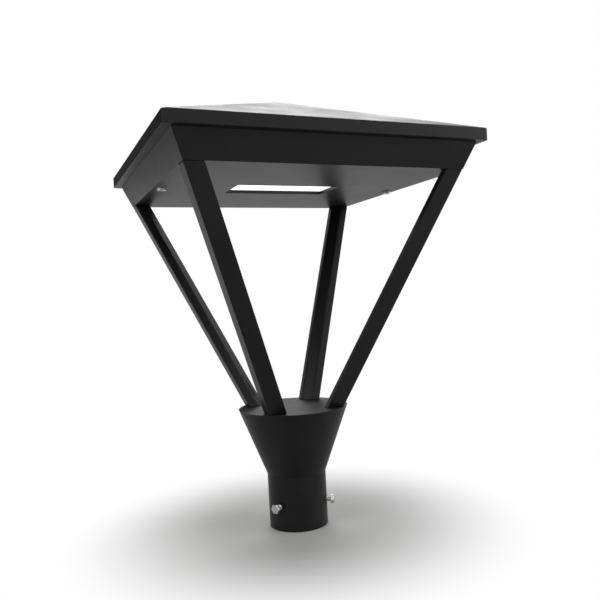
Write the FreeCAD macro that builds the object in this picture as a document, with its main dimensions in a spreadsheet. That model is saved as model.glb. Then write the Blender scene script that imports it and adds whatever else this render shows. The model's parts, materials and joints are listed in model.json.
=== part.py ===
"""Post top lantern: a four-strut head with a hinged roof over a downward light window.

Millimetres, +Z up. The origin is the centre of the post socket's mouth, and -Y is the front.
"""
import FreeCAD, Part
import math
import os
import re
import Sketcher
from FreeCAD import Placement, Rotation, Vector

SIZES = (
    # Neck, socket and cone
    ("socket_radius", 38.5, "bore that slips over a 76 mm post"),
    ("neck_wall", 6.0, "wall round the socket"),
    ("neck_height", 80.0, "straight neck below the cone"),
    ("socket_depth", 70.0, "from the mouth to the shoulder that the post's end meets"),
    ("throat_radius", 30.0, "cable way through the shoulder"),
    ("cone_height", 100.0, "from the neck to the top of the plate"),
    ("cone_top_radius", 83.0, "edge of the round plate"),
    ("cone_wall", 4.0, "wall of the cone"),
    ("plate_thickness", 6.0, "round plate that carries the struts"),
    ("lug_width", 16.0, "lugs inside the cone for the plate's screws"),
    ("lug_height", 10.0, "height of those lugs"),
    ("lug_past_screw", 7.0, "those lugs beyond the plate's screws, inwards"),
    ("plate_head_gap", 1.4, "plate screws' heads from the cone's wall"),
    ("plate_screw_radius", 2.5, "plate screw"),
    ("plate_head_radius", 4.25, "its head"),
    ("plate_head_height", 5.0, "its head"),
    ("plate_screw_bite", 5.0, "plate screw's thread in the plate"),
    # Clamp bolts in the neck
    ("clamp_level", 36.0, "height of the clamp bolts above the mouth"),
    ("clamp_radius", 4.0, "clamp bolt"),
    ("clamp_tip_gap", 0.2, "tip drawn back from the socket's wall"),
    ("clamp_stand_out", 6.4, "bare shank outside the neck"),
    ("clamp_head_across", 13.0, "hexagon head across its flats"),
    ("clamp_head_height", 5.3, "hexagon head"),
    # Struts and their hollow nipples
    ("foot_edge", 0.27, "struts' outer corners in from the plate's edge"),
    ("frame_rise", 365.5, "from the plate to the roof's rim"),
    ("strut_width", 26.5, "square section, measured level"),
    ("strut_wall", 3.0, "wall of the hollow strut"),
    ("strut_end", 8.0, "closed end with its thread"),
    ("nipple_radius", 5.0, "hollow threaded nipple"),
    ("nipple_bore", 3.75, "its cable way"),
    ("washer_radius", 8.0, "washer under the nipple's nut"),
    ("washer_thickness", 1.2, "that washer"),
    ("nut_across", 14.0, "nipple's nut across its flats"),
    ("nut_height", 5.0, "nipple's nut"),
    ("thread_past_nut", 1.5, "nipple beyond its nut"),
    # Head housing
    ("head_half", 220.0, "half of the roof's side"),
    ("roof_overhang", 12.0, "roof beyond the skirt"),
    ("skirt_height", 35.0, "sloping skirt under the rim"),
    ("skirt_wall", 3.0, "wall of the skirt, measured level"),
    ("floor_thickness", 4.0, "underside panel"),
    ("flange_width", 17.0, "flange round the housing's mouth"),
    ("flange_thickness", 4.0, "that flange"),
    ("groove_inset", 11.0, "gasket's centre line from the skirt's edge"),
    ("groove_width", 6.0, "gasket groove"),
    ("groove_depth", 3.0, "gasket groove"),
    ("gasket_side_gap", 0.3, "gasket's room in its groove"),
    # Roof
    ("rim_height", 16.5, "upright rim of the roof"),
    ("roof_rise", 82.5, "full pyramid above the rim"),
    ("apex_half", 8.0, "small flat at the apex"),
    ("roof_wall", 3.0, "shell of the roof"),
    ("rim_corner", 6.0, "rounding of the rim's corners"),
    ("lip_width", 26.0, "inward lip under the rim, over the gasket"),
    ("lip_thickness", 3.0, "that lip"),
    ("seat_gap", 0.3, "gasket's height above the flange"),
    # Hinge at the rear
    ("hinge_half_span", 120.0, "hinges from the middle plane"),
    ("hinge_inset", 6.0, "pivot inside the roof's rear edge"),
    ("hinge_drop", 6.5, "pivot below the rim"),
    ("knuckle_radius", 5.5, "knuckles round the pin"),
    ("roof_knuckle_width", 12.0, "roof's knuckle"),
    ("housing_knuckle_width", 5.0, "housing's knuckles"),
    ("knuckle_gap", 0.3, "between knuckles, along the pin"),
    ("pin_radius", 2.5, "hinge pin"),
    ("pin_head_radius", 4.0, "its head"),
    ("pin_head_thickness", 1.5, "its head"),
    ("pin_clip_thickness", 1.0, "ring on the pin's end"),
    ("pin_past_clip", 0.5, "pin beyond its ring"),
    ("heel_width", 3.0, "heel that stops the open roof"),
    ("open_angle", 95.0, "degrees that the roof opens to its stop"),
    # Quarter-turn studs
    ("latch_inset", 11.7, "stud from the skirt's lower edge"),
    ("latch_boss_radius", 8.0, "guide boss on the floor"),
    ("latch_boss_height", 20.0, "that boss"),
    ("stud_radius", 3.5, "shank of the stud"),
    ("stud_head_radius", 7.0, "slotted head under the panel"),
    ("stud_head_height", 3.5, "that head"),
    ("stud_slot_width", 1.6, "driver slot"),
    ("stud_slot_depth", 1.5, "driver slot"),
    ("stud_bar_length", 14.0, "cross bar"),
    ("stud_bar_width", 2.5, "cross bar"),
    ("stud_bar_rise", 0.4, "bar above the strike"),
    ("stud_clip_radius", 6.5, "ring that keeps the stud in its boss"),
    ("stud_clip_thickness", 1.2, "that ring"),
    ("strike_gap", 1.5, "strike above the flange's top"),
    ("strike_thickness", 2.0, "strike plate"),
    ("strike_slot_gap", 0.8, "slot's room round the bar"),
    ("block_length", 24.0, "roof's block over the stud, across"),
    ("block_width", 32.0, "the same block, front to back"),
    ("block_room_radius", 8.5, "round room for the turning bar"),
    ("block_room_height", 5.0, "that room"),
    ("strike_screw_inset", 4.0, "strike's screws in from the block's ends"),
    ("strike_screw_radius", 1.5, "strike's screws"),
    ("strike_screw_bite", 7.0, "strike screw's thread in the block"),
    ("strike_head_radius", 2.7, "their heads"),
    ("strike_head_height", 1.2, "their heads"),
    # Light window
    ("window_width", 72.0, "opening in the panel, front to back"),
    ("glass_border", 8.0, "glass beyond the opening"),
    ("window_gasket_thickness", 1.0, "seal under the glass"),
    ("glass_thickness", 4.0, "opal glass"),
    ("retainer_thickness", 2.0, "frame that holds the glass"),
    ("retainer_border", 10.0, "frame beyond the glass"),
    ("boss_radius", 4.0, "bosses for the frame's screws"),
    ("small_screw_radius", 2.0, "screws inside the housing"),
    ("small_head_radius", 3.5, "their heads"),
    ("small_head_height", 2.6, "their heads"),
    ("small_screw_bite", 5.5, "their thread in the casting"),
    # Light engine
    ("light_box_height", 18.0, "white mixing box"),
    ("light_box_wall", 2.0, "its wall"),
    ("light_box_inset", 2.0, "its outside within the glass's edge"),
    ("board_thickness", 1.6, "lamp board"),
    ("board_border", 2.0, "board beyond the mixing box"),
    ("board_tail", 9.0, "board beyond the mixing box at the back"),
    ("chip_size", 5.0, "one light source"),
    ("chip_height", 0.8, "one light source"),
    ("chip_margin", 8.0, "window's length beyond the sources' pitches"),
    ("plug_length", 14.0, "board's connector, across"),
    ("plug_height", 6.0, "board's connector"),
    ("plug_depth", 8.0, "board's connector, front to back"),
    ("plug_inset", 28.0, "board's connector in from the board's end"),
    ("pad_thickness", 0.5, "heat pad"),
    ("sink_length", 224.0, "heat sink, across"),
    ("sink_width", 112.0, "heat sink, front to back"),
    ("sink_base", 5.0, "its plate"),
    ("fin_height", 25.0, "its fins"),
    ("fin_thickness", 2.0, "its fins"),
    ("fin_inset", 22.0, "outer fins in from the heat sink's ends"),
    ("standoff_across", 10.0, "hexagon standoffs under the heat sink, across their flats"),
    ("standoff_inset", 7.0, "standoffs from the heat sink's edges"),
    ("standoff_clear", 7.0, "standoffs' centres beyond the window's frame"),
    # Gear
    ("gear_offset", 15.0, "gear's centre line behind the middle of the head's rear half"),
    ("gear_pad_height", 4.0, "pads cast on the floor"),
    ("ear_length", 12.0, "ears of the cases"),
    ("ear_thickness", 2.5, "ears of the cases"),
    ("driver_length", 150.0, "driver's case"),
    ("driver_width", 42.0, "driver's case"),
    ("driver_height", 30.0, "driver's case"),
    ("case_gap", 1.0, "between the ears of the two cases"),
    ("terminal_length", 50.0, "terminal block"),
    ("terminal_width", 24.0, "terminal block"),
    ("terminal_height", 20.0, "terminal block"),
    ("well_radius", 3.6, "wells over the wire clamps"),
    ("well_depth", 7.0, "those wells"),
    ("well_pitch", 13.0, "between the wells"),
    ("wire_clamp_radius", 3.4, "slotted clamps in the wells"),
    ("wire_clamp_height", 3.5, "those clamps"),
    ("wire_clamp_slot", 0.9, "their slots"),
    ("wire_clamp_slot_depth", 1.75, "their slots"),
    ("lead_radius", 2.0, "lamp leads"),
    ("lead_level", 10.0, "leads above the pads"),
    ("lead_run", 35.0, "lamp lead beyond the driver"),
    ("lead_bend", 14.0, "lamp lead's bends"),
    ("earth_offset", 45.0, "earth screw in front of the terminal block"),
    # Supply cable and its inlet under the plate
    ("cable_radius", 3.0, "supply cable"),
    ("cable_side_gap", 1.1, "its room beside the strut's wall"),
    ("cable_turn", 13.0, "its bends inside the head"),
    ("cable_straight", 2.3, "its straight run below the nipple, before the bend"),
    ("cable_peak_room", 16.9, "its top above the nipple"),
    ("inlet_radius", 18.0, "inlet connector on the axis"),
    ("inlet_height", 46.0, "inlet connector"),
    ("inlet_flange_radius", 27.0, "its flange"),
    ("inlet_flange_thickness", 3.0, "its flange"),
    ("inlet_cable_drop", 34.0, "cable's entry below the plate"),
    ("inlet_way_radius", 4.0, "cable way into the connector"),
    ("inlet_way_depth", 15.0, "that way"),
    ("gland_radius", 8.8, "cable gland under the connector"),
    ("gland_height", 16.0, "that gland"),
    ("gland_nut_across", 18.7, "its nut across the flats"),
    ("gland_nut_height", 8.0, "its nut"),
    ("gland_bore", 5.0, "room for the post's cable"),
    # Shared fits
    ("fit_gap", 0.05, "radial room of shafts and threads"),
)

CHIP_ROWS = (-1, 0, 1)
CHIP_COLUMNS = (-3.5, -2.5, -1.5, -0.5, 0.5, 1.5, 2.5, 3.5)

PLACES = {
    "neck_radius": "socket_radius + neck_wall",
    "cone_slope": "(cone_top_radius - neck_radius) / cone_height",
    "cone_wall_level": "cone_wall * sqrt(1 + cone_slope ^ 2)",
    "plate_top": "neck_height + cone_height",
    "plate_base": "plate_top - plate_thickness",
    "plate_base_radius": "cone_top_radius - cone_slope * plate_thickness",
    "lug_base": "plate_base - lug_height",
    "plate_screw_circle": "cone_top_radius - cone_slope * (plate_thickness + lug_height + plate_head_height)"
                          " - cone_wall_level - plate_head_radius - plate_head_gap",
    "lug_reach": "plate_screw_circle - lug_past_screw",
    "lug_outer": "cone_top_radius - cone_slope * (plate_thickness + lug_height) - cone_wall_level / 2",
    "inlet_screw_circle": "(inlet_radius + inlet_flange_radius) / 2",
    "rim_base": "plate_top + frame_rise",
    "rim_top": "rim_base + rim_height",
    "skirt_base": "rim_base - skirt_height",
    "floor_top": "skirt_base + floor_thickness",
    "skirt_top_half": "head_half - roof_overhang",
    "foot_half": "(cone_top_radius - foot_edge) / sqrt(2)",
    "lean": "(skirt_top_half - foot_half) / frame_rise",
    "skirt_base_half": "skirt_top_half - lean * skirt_height",
    "foot_centre": "foot_half - strut_width / 2",
    "crown_centre": "skirt_base_half - strut_width / 2",
    "foot_nut_base": "plate_base - washer_thickness - nut_height",
    "crown_nut_base": "floor_top + washer_thickness",
    "strut_top": "skirt_base",
    "roof_base": "rim_base + seat_gap",
    "lip_top": "roof_base + lip_thickness",
    "roof_slope": "roof_rise / head_half",
    "roof_wall_upright": "roof_wall * sqrt(1 + roof_slope ^ 2)",
    "apex_top": "rim_top + roof_slope * (head_half - apex_half)",
    "inner_eave": "rim_top + roof_slope * roof_wall - roof_wall_upright",
    "gasket_half": "skirt_top_half - groove_inset",
    "pivot_back": "head_half - hinge_inset",
    "pivot_level": "rim_base - hinge_drop",
    "skirt_half_at_pivot": "skirt_top_half - lean * hinge_drop",
    "skirt_distance": "(pivot_back - skirt_half_at_pivot) / sqrt(1 + lean ^ 2)",
    "heel_turn": "open_angle * 1 deg - atan(lean)",
    "heel_reach": "(skirt_distance - fit_gap) / sin(heel_turn)",
    "latch_offset": "skirt_base_half - latch_inset",
    "latch_boss_top": "floor_top + latch_boss_height",
    "strike_base": "rim_base + strike_gap",
    "strike_top": "strike_base + strike_thickness",
    "stud_bar_base": "strike_top + stud_bar_rise",
    "stud_top": "stud_bar_base + stud_bar_width",
    "strike_screw_spacing": "block_width - 2 * strike_screw_inset",
    "window_length": "2 * (standoff_reach - standoff_clear - retainer_border - glass_border)",
    "glass_length": "window_length + 2 * glass_border",
    "glass_width": "window_width + 2 * glass_border",
    "glass_base": "floor_top + window_gasket_thickness",
    "retainer_base": "glass_base + glass_thickness",
    "retainer_top": "retainer_base + retainer_thickness",
    "retainer_length": "glass_length + 2 * retainer_border",
    "retainer_width": "glass_width + 2 * retainer_border",
    "boss_across": "(glass_length + retainer_border) / 2",
    "boss_deep": "(glass_width + retainer_border) / 2",
    "light_box_length": "glass_length - 2 * light_box_inset",
    "light_box_width": "glass_width - 2 * light_box_inset",
    "board_base": "retainer_top + light_box_height",
    "board_length": "light_box_length + 2 * board_border",
    "board_front": "light_box_width / 2 + board_border",
    "board_back": "light_box_width / 2 + board_tail",
    "chip_pitch": f"(window_length - chip_margin) / {len(CHIP_COLUMNS)}",
    "plug_offset": "board_length / 2 - plug_inset",
    "pad_base": "board_base + board_thickness",
    "sink_bottom": "pad_base + pad_thickness",
    "standoff_reach": "sink_length / 2 - standoff_inset",
    "standoff_depth": "sink_width / 2 - standoff_inset",
    "fin_span": "sink_length - 2 * fin_inset",
    "gear_line": "head_half / 2 + gear_offset",
    "terminal_offset": "-(driver_length / 2 + 2 * ear_length + case_gap + terminal_length / 2)",
    "gear_base": "floor_top + gear_pad_height",
    "ear_top": "gear_base + ear_thickness",
    "lead_height": "gear_base + lead_level",
    "plug_level": "board_base - plug_height / 2",
    "cable_entry": "plate_base - inlet_cable_drop",
    "cable_start_bend": "foot_nut_base - thread_past_nut - cable_entry - cable_straight",
    "cable_knee": "(strut_width / 2 - strut_wall - cable_radius - cable_side_gap) / lean",
    "cable_bend": "(cable_knee - strut_end) / tan(atan(lean * sqrt(2)) / 2)",
    "cable_peak": "crown_nut_base + nut_height + thread_past_nut + cable_peak_room",
}

ALIASES = {alias for alias, value, meaning in SIZES}
SIDES = (-1, 1)
CORNERS = tuple((across, deep) for across in SIDES for deep in SIDES)
HIPS = ((1, -1), (1, 1), (-1, 1), (-1, -1))
ALONG_X = Rotation(Vector(0, 1, 0), 90)
CLAMP_BOLTS = (("front_right", -30), ("rear", 90), ("front_left", 210))
FIN_COUNT = 19
KEY_FLOOR = 0.4  # share of a screw head's height that is left under its key's hole

document = FreeCAD.newDocument("PostTopLantern")
sheet = document.addObject("Spreadsheet::Sheet", "Sizes")
pieces = []


def fill_sheet():
    """Write each driving size to the sheet as a number with its name and meaning."""
    for row, (alias, value, meaning) in enumerate(SIZES, start=1):
        sheet.set(f"A{row}", meaning)
        sheet.set(f"B{row}", str(value))
        sheet.setAlias(f"B{row}", alias)
    document.recompute()


def link(words):
    """Turn the names of sizes and places in an expression into references to the sheet."""

    def swap(match):
        word = match.group(0)
        if word in PLACES:
            return "(" + link(PLACES[word]) + ")"
        return f"Sizes.{word}" if word in ALIASES else word

    return re.sub(r"[A-Za-z_]\w*", swap, str(words))


def number(words):
    """Work out an expression on the sheet as a plain number."""
    return float(sheet.evalExpression(link(words)))


def bind(item, **expressions):
    """Bind an object's sizes to expressions on the sheet."""
    for name, words in expressions.items():
        item.setExpression(name, link(words))


def place(item, across, deep, level):
    """Bind an object's position to expressions on the sheet."""
    for axis, words in zip("xyz", (across, deep, level)):
        item.setExpression(f"Placement.Base.{axis}", link(words))


def keep(label, item):
    """Name an object as one of the lantern's pieces."""
    item.Label = label
    pieces.append(item)
    return item


# Solids bound to the sheet


def block(across, deep, level, length, width, height):
    """A box centred on a point of its base."""
    item = document.addObject("Part::Box", "Block")
    bind(item, Length=length, Width=width, Height=height)
    place(item, f"({across}) - ({length}) / 2", f"({deep}) - ({width}) / 2", level)
    return item


def rod(across, deep, level, radius, height):
    """An upright cylinder."""
    item = document.addObject("Part::Cylinder", "Rod")
    bind(item, Radius=radius, Height=height)
    place(item, across, deep, level)
    return item


def cross_rod(across, deep, level, radius, length):
    """A cylinder along X from its left end."""
    item = rod(across, deep, level, radius, length)
    item.Placement = Placement(Vector(), ALONG_X)
    place(item, across, deep, level)
    return item


def hexagon(across, deep, level, across_flats, height):
    """An upright hexagonal prism."""
    item = document.addObject("Part::Prism", "Hexagon")
    item.Polygon = 6
    bind(item, Circumradius=f"({across_flats}) / sqrt(3)", Height=height)
    place(item, across, deep, level)
    return item


def taper(low, high):
    """A solid between two level rectangles, each (left, right, front, back, level)."""
    item = document.addObject("Part::Wedge", "Taper")
    item.Placement = Placement(Vector(), Rotation(Vector(1, 0, 0), 90))
    left, right, front, back, level = low
    bind(item, Xmin=left, Xmax=right, Zmin=f"-({back})", Zmax=f"-({front})", Ymin=level)
    left, right, front, back, level = high
    bind(item, X2min=left, X2max=right, Z2min=f"-({back})", Z2max=f"-({front})", Ymax=level)
    return item


def square_taper(half_low, low, half_high, high):
    """A frustum on the lantern's axis."""
    return taper(
        (f"-({half_low})", half_low, f"-({half_low})", half_low, low),
        (f"-({half_high})", half_high, f"-({half_high})", half_high, high),
    )


def fuse(*items):
    """Join solids into one."""
    item = document.addObject("Part::MultiFuse", "Joined")
    item.Shapes = list(items)
    item.Refine = True
    return item


def cut(base, *tools):
    """Take solids away from a solid."""
    item = document.addObject("Part::Cut", "Cut")
    item.Base = base
    item.Tool = tools[0] if len(tools) == 1 else fuse(*tools)
    item.Refine = True
    return item


def common(first, second):
    """What two solids share."""
    item = document.addObject("Part::MultiCommon", "Shared")
    item.Shapes = [first, second]
    return item


def group(items):
    """Separate solids kept as one node."""
    item = document.addObject("Part::Compound", "Group")
    item.Links = list(items)
    return item


def ring(across, deep, level, outer, inner, height):
    """An upright tube."""
    return cut(
        rod(across, deep, level, outer, height),
        rod(across, deep, f"({level}) - 1", inner, f"({height}) + 2"),
    )


def frame(level, length, width, border, height):
    """A rectangular ring on the lantern's axis, with its outside length and width."""
    return cut(
        block("0", "0", level, length, width, height),
        block("0", "0", f"({level}) - 1", f"({length}) - 2 * ({border})",
              f"({width}) - 2 * ({border})", f"({height}) + 2"),
    )


def socket_screw(across, deep, seat, radius, length, head_radius, head_height, down=True):
    """A cylinder-head screw with its head on the seat and a hexagon socket."""
    shank_base = f"({seat}) - ({length})" if down else seat
    head_base = seat if down else f"({seat}) - ({head_height})"
    key_base = f"({seat}) + {KEY_FLOOR} * ({head_height})" if down else f"({seat}) - 2 * ({head_height})"
    key_height = head_height if down else f"(2 - {KEY_FLOOR}) * ({head_height})"
    return cut(
        fuse(rod(across, deep, shank_base, radius, length),
             rod(across, deep, head_base, head_radius, head_height)),
        hexagon(across, deep, key_base, head_radius, key_height),
    )


def small_screw(across, deep, seat, grip):
    """One of the small screws inside the housing, through what it grips."""
    return socket_screw(across, deep, seat, "small_screw_radius", f"({grip}) + small_screw_bite",
                        "small_head_radius", "small_head_height")


def small_thread(across, deep, seat):
    """The tapped hole of a small screw, down from its seat."""
    return rod(across, deep, f"({seat}) - small_screw_bite - fit_gap",
               "small_screw_radius + fit_gap", "small_screw_bite + 1")


# Turned and flat pieces


def origin_plane(body, role):
    """One of a body's own origin planes."""
    return next(feature for feature in body.Origin.OriginFeatures if feature.Role == role)


def draw(body, role, level="0"):
    """A sketch on one of a body's own planes."""
    sketch = body.newObject("Sketcher::SketchObject", "Sketch")
    sketch.AttachmentSupport = [(origin_plane(body, role), "")]
    sketch.MapMode = "FlatFace"
    sketch.setExpression("AttachmentOffset.Base.z", link(level))
    return sketch


def fix(sketch, kind, geometry, point, words):
    """Hold a sketched point at an expression's distance from the origin."""
    if words == "0":
        axis = -2 if kind == "DistanceX" else -1
        sketch.addConstraint(Sketcher.Constraint("PointOnObject", geometry, point, axis))
        return
    place_on = Sketcher.Constraint(kind, -1, 1, geometry, point, number(words))
    index = sketch.addConstraint(place_on)
    sketch.setExpression(f"Constraints[{index}]", link(words))


def outline(sketch, corners):
    """A closed line through corners that are pairs of expressions."""
    spots = [Vector(number(across), number(up), 0) for across, up in corners]
    for start, end in zip(spots, spots[1:] + spots[:1]):
        sketch.addGeometry(Part.LineSegment(start, end), False)
    for index, (across, up) in enumerate(corners):
        following = (index + 1) % len(corners)
        sketch.addConstraint(Sketcher.Constraint("Coincident", index, 2, following, 1))
        fix(sketch, "DistanceX", index, 1, across)
        fix(sketch, "DistanceY", index, 1, up)


def turned(corners):
    """A body turned about Z from a half section of (radius, level) corners."""
    body = document.addObject("PartDesign::Body", "Turned")
    section = draw(body, "XZ_Plane")
    outline(section, corners)
    revolution = body.newObject("PartDesign::Revolution", "Revolution")
    revolution.Profile = section
    revolution.ReferenceAxis = (section, ["V_Axis"])
    revolution.Angle = 360
    return body


def rectangle(length, width):
    """Corners of a centred rectangle."""
    right, back = f"({length}) / 2", f"({width}) / 2"
    return ((f"-{right}", f"-{back}"), (right, f"-{back}"), (right, back), (f"-{right}", back))


def flat(corners, level, thickness, opening=None):
    """A padded plate, with an opening through it where one is given."""
    body = document.addObject("PartDesign::Body", "Flat")
    face = draw(body, "XY_Plane", level)
    outline(face, corners)
    pad = body.newObject("PartDesign::Pad", "Pad")
    pad.Profile = face
    bind(pad, Length=thickness)
    if opening:
        hole = draw(body, "XY_Plane", level)
        outline(hole, opening)
        pocket = body.newObject("PartDesign::Pocket", "Opening")
        pocket.Profile = hole
        pocket.Reversed = True
        bind(pocket, Length=f"({thickness}) + 1")
    return body


# Base


def plate_screw_spots():
    """The four plate screws stand on the X and Y axes."""
    return [(f"{across} * plate_screw_circle", f"{deep} * plate_screw_circle")
            for across, deep in ((1, 0), (0, 1), (-1, 0), (0, -1))]


def clamp_rod(angle, start, radius, length):
    """A cylinder that lies along a radius of the neck at the clamp bolts' height."""
    item = rod("0", "0", "clamp_level", radius, length)
    return aim(item, angle, start)


def aim(item, angle, start):
    """Turn an upright solid to lie along a radius of the neck."""
    item.Placement = Placement(Vector(), Rotation(Vector(0, 0, 1), angle) * ALONG_X)
    across, deep = math.cos(math.radians(angle)), math.sin(math.radians(angle))
    place(item, f"{across:.9f} * ({start})", f"{deep:.9f} * ({start})", "clamp_level")
    return item


def make_post_sleeve():
    """Neck with the post socket, the shoulder at its end and the clamp bolts' threads."""
    sleeve = turned((
        ("socket_radius", "0"),
        ("neck_radius", "0"),
        ("neck_radius", "neck_height"),
        ("throat_radius", "neck_height"),
        ("throat_radius", "socket_depth"),
        ("socket_radius", "socket_depth"),
    ))
    threads = [clamp_rod(angle, "throat_radius", "clamp_radius + fit_gap", "neck_radius")
               for name, angle in CLAMP_BOLTS]
    keep("post_sleeve", cut(sleeve, *threads))


def make_cone():
    """Hollow cone welded to the sleeve, with the lugs for the plate inside."""
    shell = turned((
        ("neck_radius - cone_wall_level", "neck_height"),
        ("neck_radius", "neck_height"),
        ("plate_base_radius", "plate_base"),
        ("plate_base_radius - cone_wall_level", "plate_base"),
    ))
    middle = "(lug_reach + lug_outer) / 2"
    reach = "lug_outer - lug_reach"
    lugs = [block(f"{side} * {middle}", "0", "lug_base", reach, "lug_width", "lug_height")
            for side in SIDES]
    lugs += [block("0", f"{side} * {middle}", "lug_base", "lug_width", reach, "lug_height")
             for side in SIDES]
    holes = [rod(across, deep, "lug_base - 1", "plate_screw_radius + fit_gap", "lug_height + 2")
             for across, deep in plate_screw_spots()]
    keep("cone", cut(fuse(shell, *lugs), *holes))


def make_clamp_bolts():
    """Three hexagon bolts that grip the post, each on its own radius."""
    for name, angle in CLAMP_BOLTS:
        tip = "socket_radius + clamp_tip_gap"
        shank = clamp_rod(angle, tip, "clamp_radius", "neck_wall + clamp_stand_out - clamp_tip_gap")
        head = hexagon("0", "0", "0", "clamp_head_across", "clamp_head_height")
        aim(head, angle, "neck_radius + clamp_stand_out")
        keep(f"clamp_bolt_{name}", fuse(shank, head))


def make_top_plate():
    """Round plate on the cone with its nipple holes and blind threads."""
    disc = turned((
        ("0", "plate_base"),
        ("plate_base_radius", "plate_base"),
        ("cone_top_radius", "plate_top"),
        ("0", "plate_top"),
    ))
    ways = [rod(f"{across} * foot_centre", f"{deep} * foot_centre", "plate_base - 1",
                "nipple_radius + fit_gap", "plate_thickness + 2") for across, deep in CORNERS]
    depth = "plate_screw_bite + fit_gap + 1"
    threads = [rod(across, deep, "plate_base - 1", "plate_screw_radius + fit_gap", depth)
               for across, deep in plate_screw_spots()]
    threads += [rod(across, deep, "plate_base - 1", "small_screw_radius + fit_gap", depth)
                for across, deep in inlet_screw_spots()]
    keep("top_plate", cut(disc, *ways, *threads))


def make_plate_screws():
    """Screws that come up through the cone's lugs into the plate."""
    screws = [socket_screw(across, deep, "lug_base", "plate_screw_radius",
                           "lug_height + plate_screw_bite", "plate_head_radius",
                           "plate_head_height", down=False)
              for across, deep in plate_screw_spots()]
    keep("plate_screws", group(screws))


# Struts and what holds them


def strut_square(across, deep, centre, half, level):
    """A level square of one strut, as a rectangle for a taper."""
    return (f"{across} * ({centre}) - ({half})", f"{across} * ({centre}) + ({half})",
            f"{deep} * ({centre}) - ({half})", f"{deep} * ({centre}) + ({half})", level)


def make_strut(label, across, deep):
    """A leaning hollow strut with closed, tapped ends."""
    half = "strut_width / 2"
    hollow = "strut_width / 2 - strut_wall"
    body = taper(strut_square(across, deep, "foot_centre", half, "plate_top"),
                 strut_square(across, deep, "crown_centre", half, "strut_top"))
    room = taper(
        strut_square(across, deep, "foot_centre + lean * strut_end", hollow, "plate_top + strut_end"),
        strut_square(across, deep, "crown_centre - lean * strut_end", hollow, "strut_top - strut_end"))
    bore = "nipple_radius + fit_gap"
    foot = rod(f"{across} * foot_centre", f"{deep} * foot_centre", "plate_top - 1",
               bore, "strut_end + 2")
    crown = rod(f"{across} * crown_centre", f"{deep} * crown_centre", "strut_top - strut_end - 1",
                bore, "strut_end + 2")
    keep(label, cut(body, room, foot, crown))


def make_struts():
    """The four struts, named for where they stand."""
    for across, deep in CORNERS:
        row = "front" if deep < 0 else "rear"
        side = "left" if across < 0 else "right"
        make_strut(f"strut_{row}_{side}", across, deep)


def at_corners(centre, make):
    """Make one solid at each of the four strut places."""
    return group([make(f"{across} * {centre}", f"{deep} * {centre}") for across, deep in CORNERS])


def make_nipples():
    """Hollow nipples, washers and nuts at the struts' feet and crowns."""
    gap = "nipple_radius + fit_gap"
    foot_start = "foot_nut_base - thread_past_nut"
    foot_length = "plate_top + strut_end - (foot_nut_base - thread_past_nut)"
    keep("foot_nipples", at_corners("foot_centre", lambda x, y: ring(
        x, y, foot_start, "nipple_radius", "nipple_bore", foot_length)))
    keep("foot_washers", at_corners("foot_centre", lambda x, y: ring(
        x, y, "plate_base - washer_thickness", "washer_radius", gap, "washer_thickness")))
    keep("foot_nuts", at_corners("foot_centre", lambda x, y: cut(
        hexagon(x, y, "foot_nut_base", "nut_across", "nut_height"),
        rod(x, y, "foot_nut_base - 1", gap, "nut_height + 2"))))
    crown_start = "strut_top - strut_end"
    crown_length = "crown_nut_base + nut_height + thread_past_nut - (strut_top - strut_end)"
    keep("crown_nipples", at_corners("crown_centre", lambda x, y: ring(
        x, y, crown_start, "nipple_radius", "nipple_bore", crown_length)))
    keep("crown_washers", at_corners("crown_centre", lambda x, y: ring(
        x, y, "floor_top", "washer_radius", gap, "washer_thickness")))
    keep("crown_nuts", at_corners("crown_centre", lambda x, y: cut(
        hexagon(x, y, "crown_nut_base", "nut_across", "nut_height"),
        rod(x, y, "crown_nut_base - 1", gap, "nut_height + 2"))))


# Head housing


def boss_spots():
    """Six screws hold the window's frame."""
    return [(f"{across} * boss_across", f"{deep} * boss_deep")
            for across in (-1, 0, 1) for deep in SIDES]


def standoff_spots():
    """Four standoffs carry the heat sink."""
    return [(f"{across} * standoff_reach", f"{deep} * standoff_depth") for across, deep in CORNERS]


def ear_spots(centre, length):
    """The two ears of a case on the gear line."""
    return [(f"({centre}) + {side} * (({length}) + ear_length) / 2", "gear_line") for side in SIDES]


def gear_spots():
    """Every ear of the driver and the terminal block."""
    return ear_spots("0", "driver_length") + ear_spots("terminal_offset", "terminal_length")


def earth_spot():
    """The earth screw stands in front of the terminal block."""
    return "terminal_offset", "gear_line - earth_offset"


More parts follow.
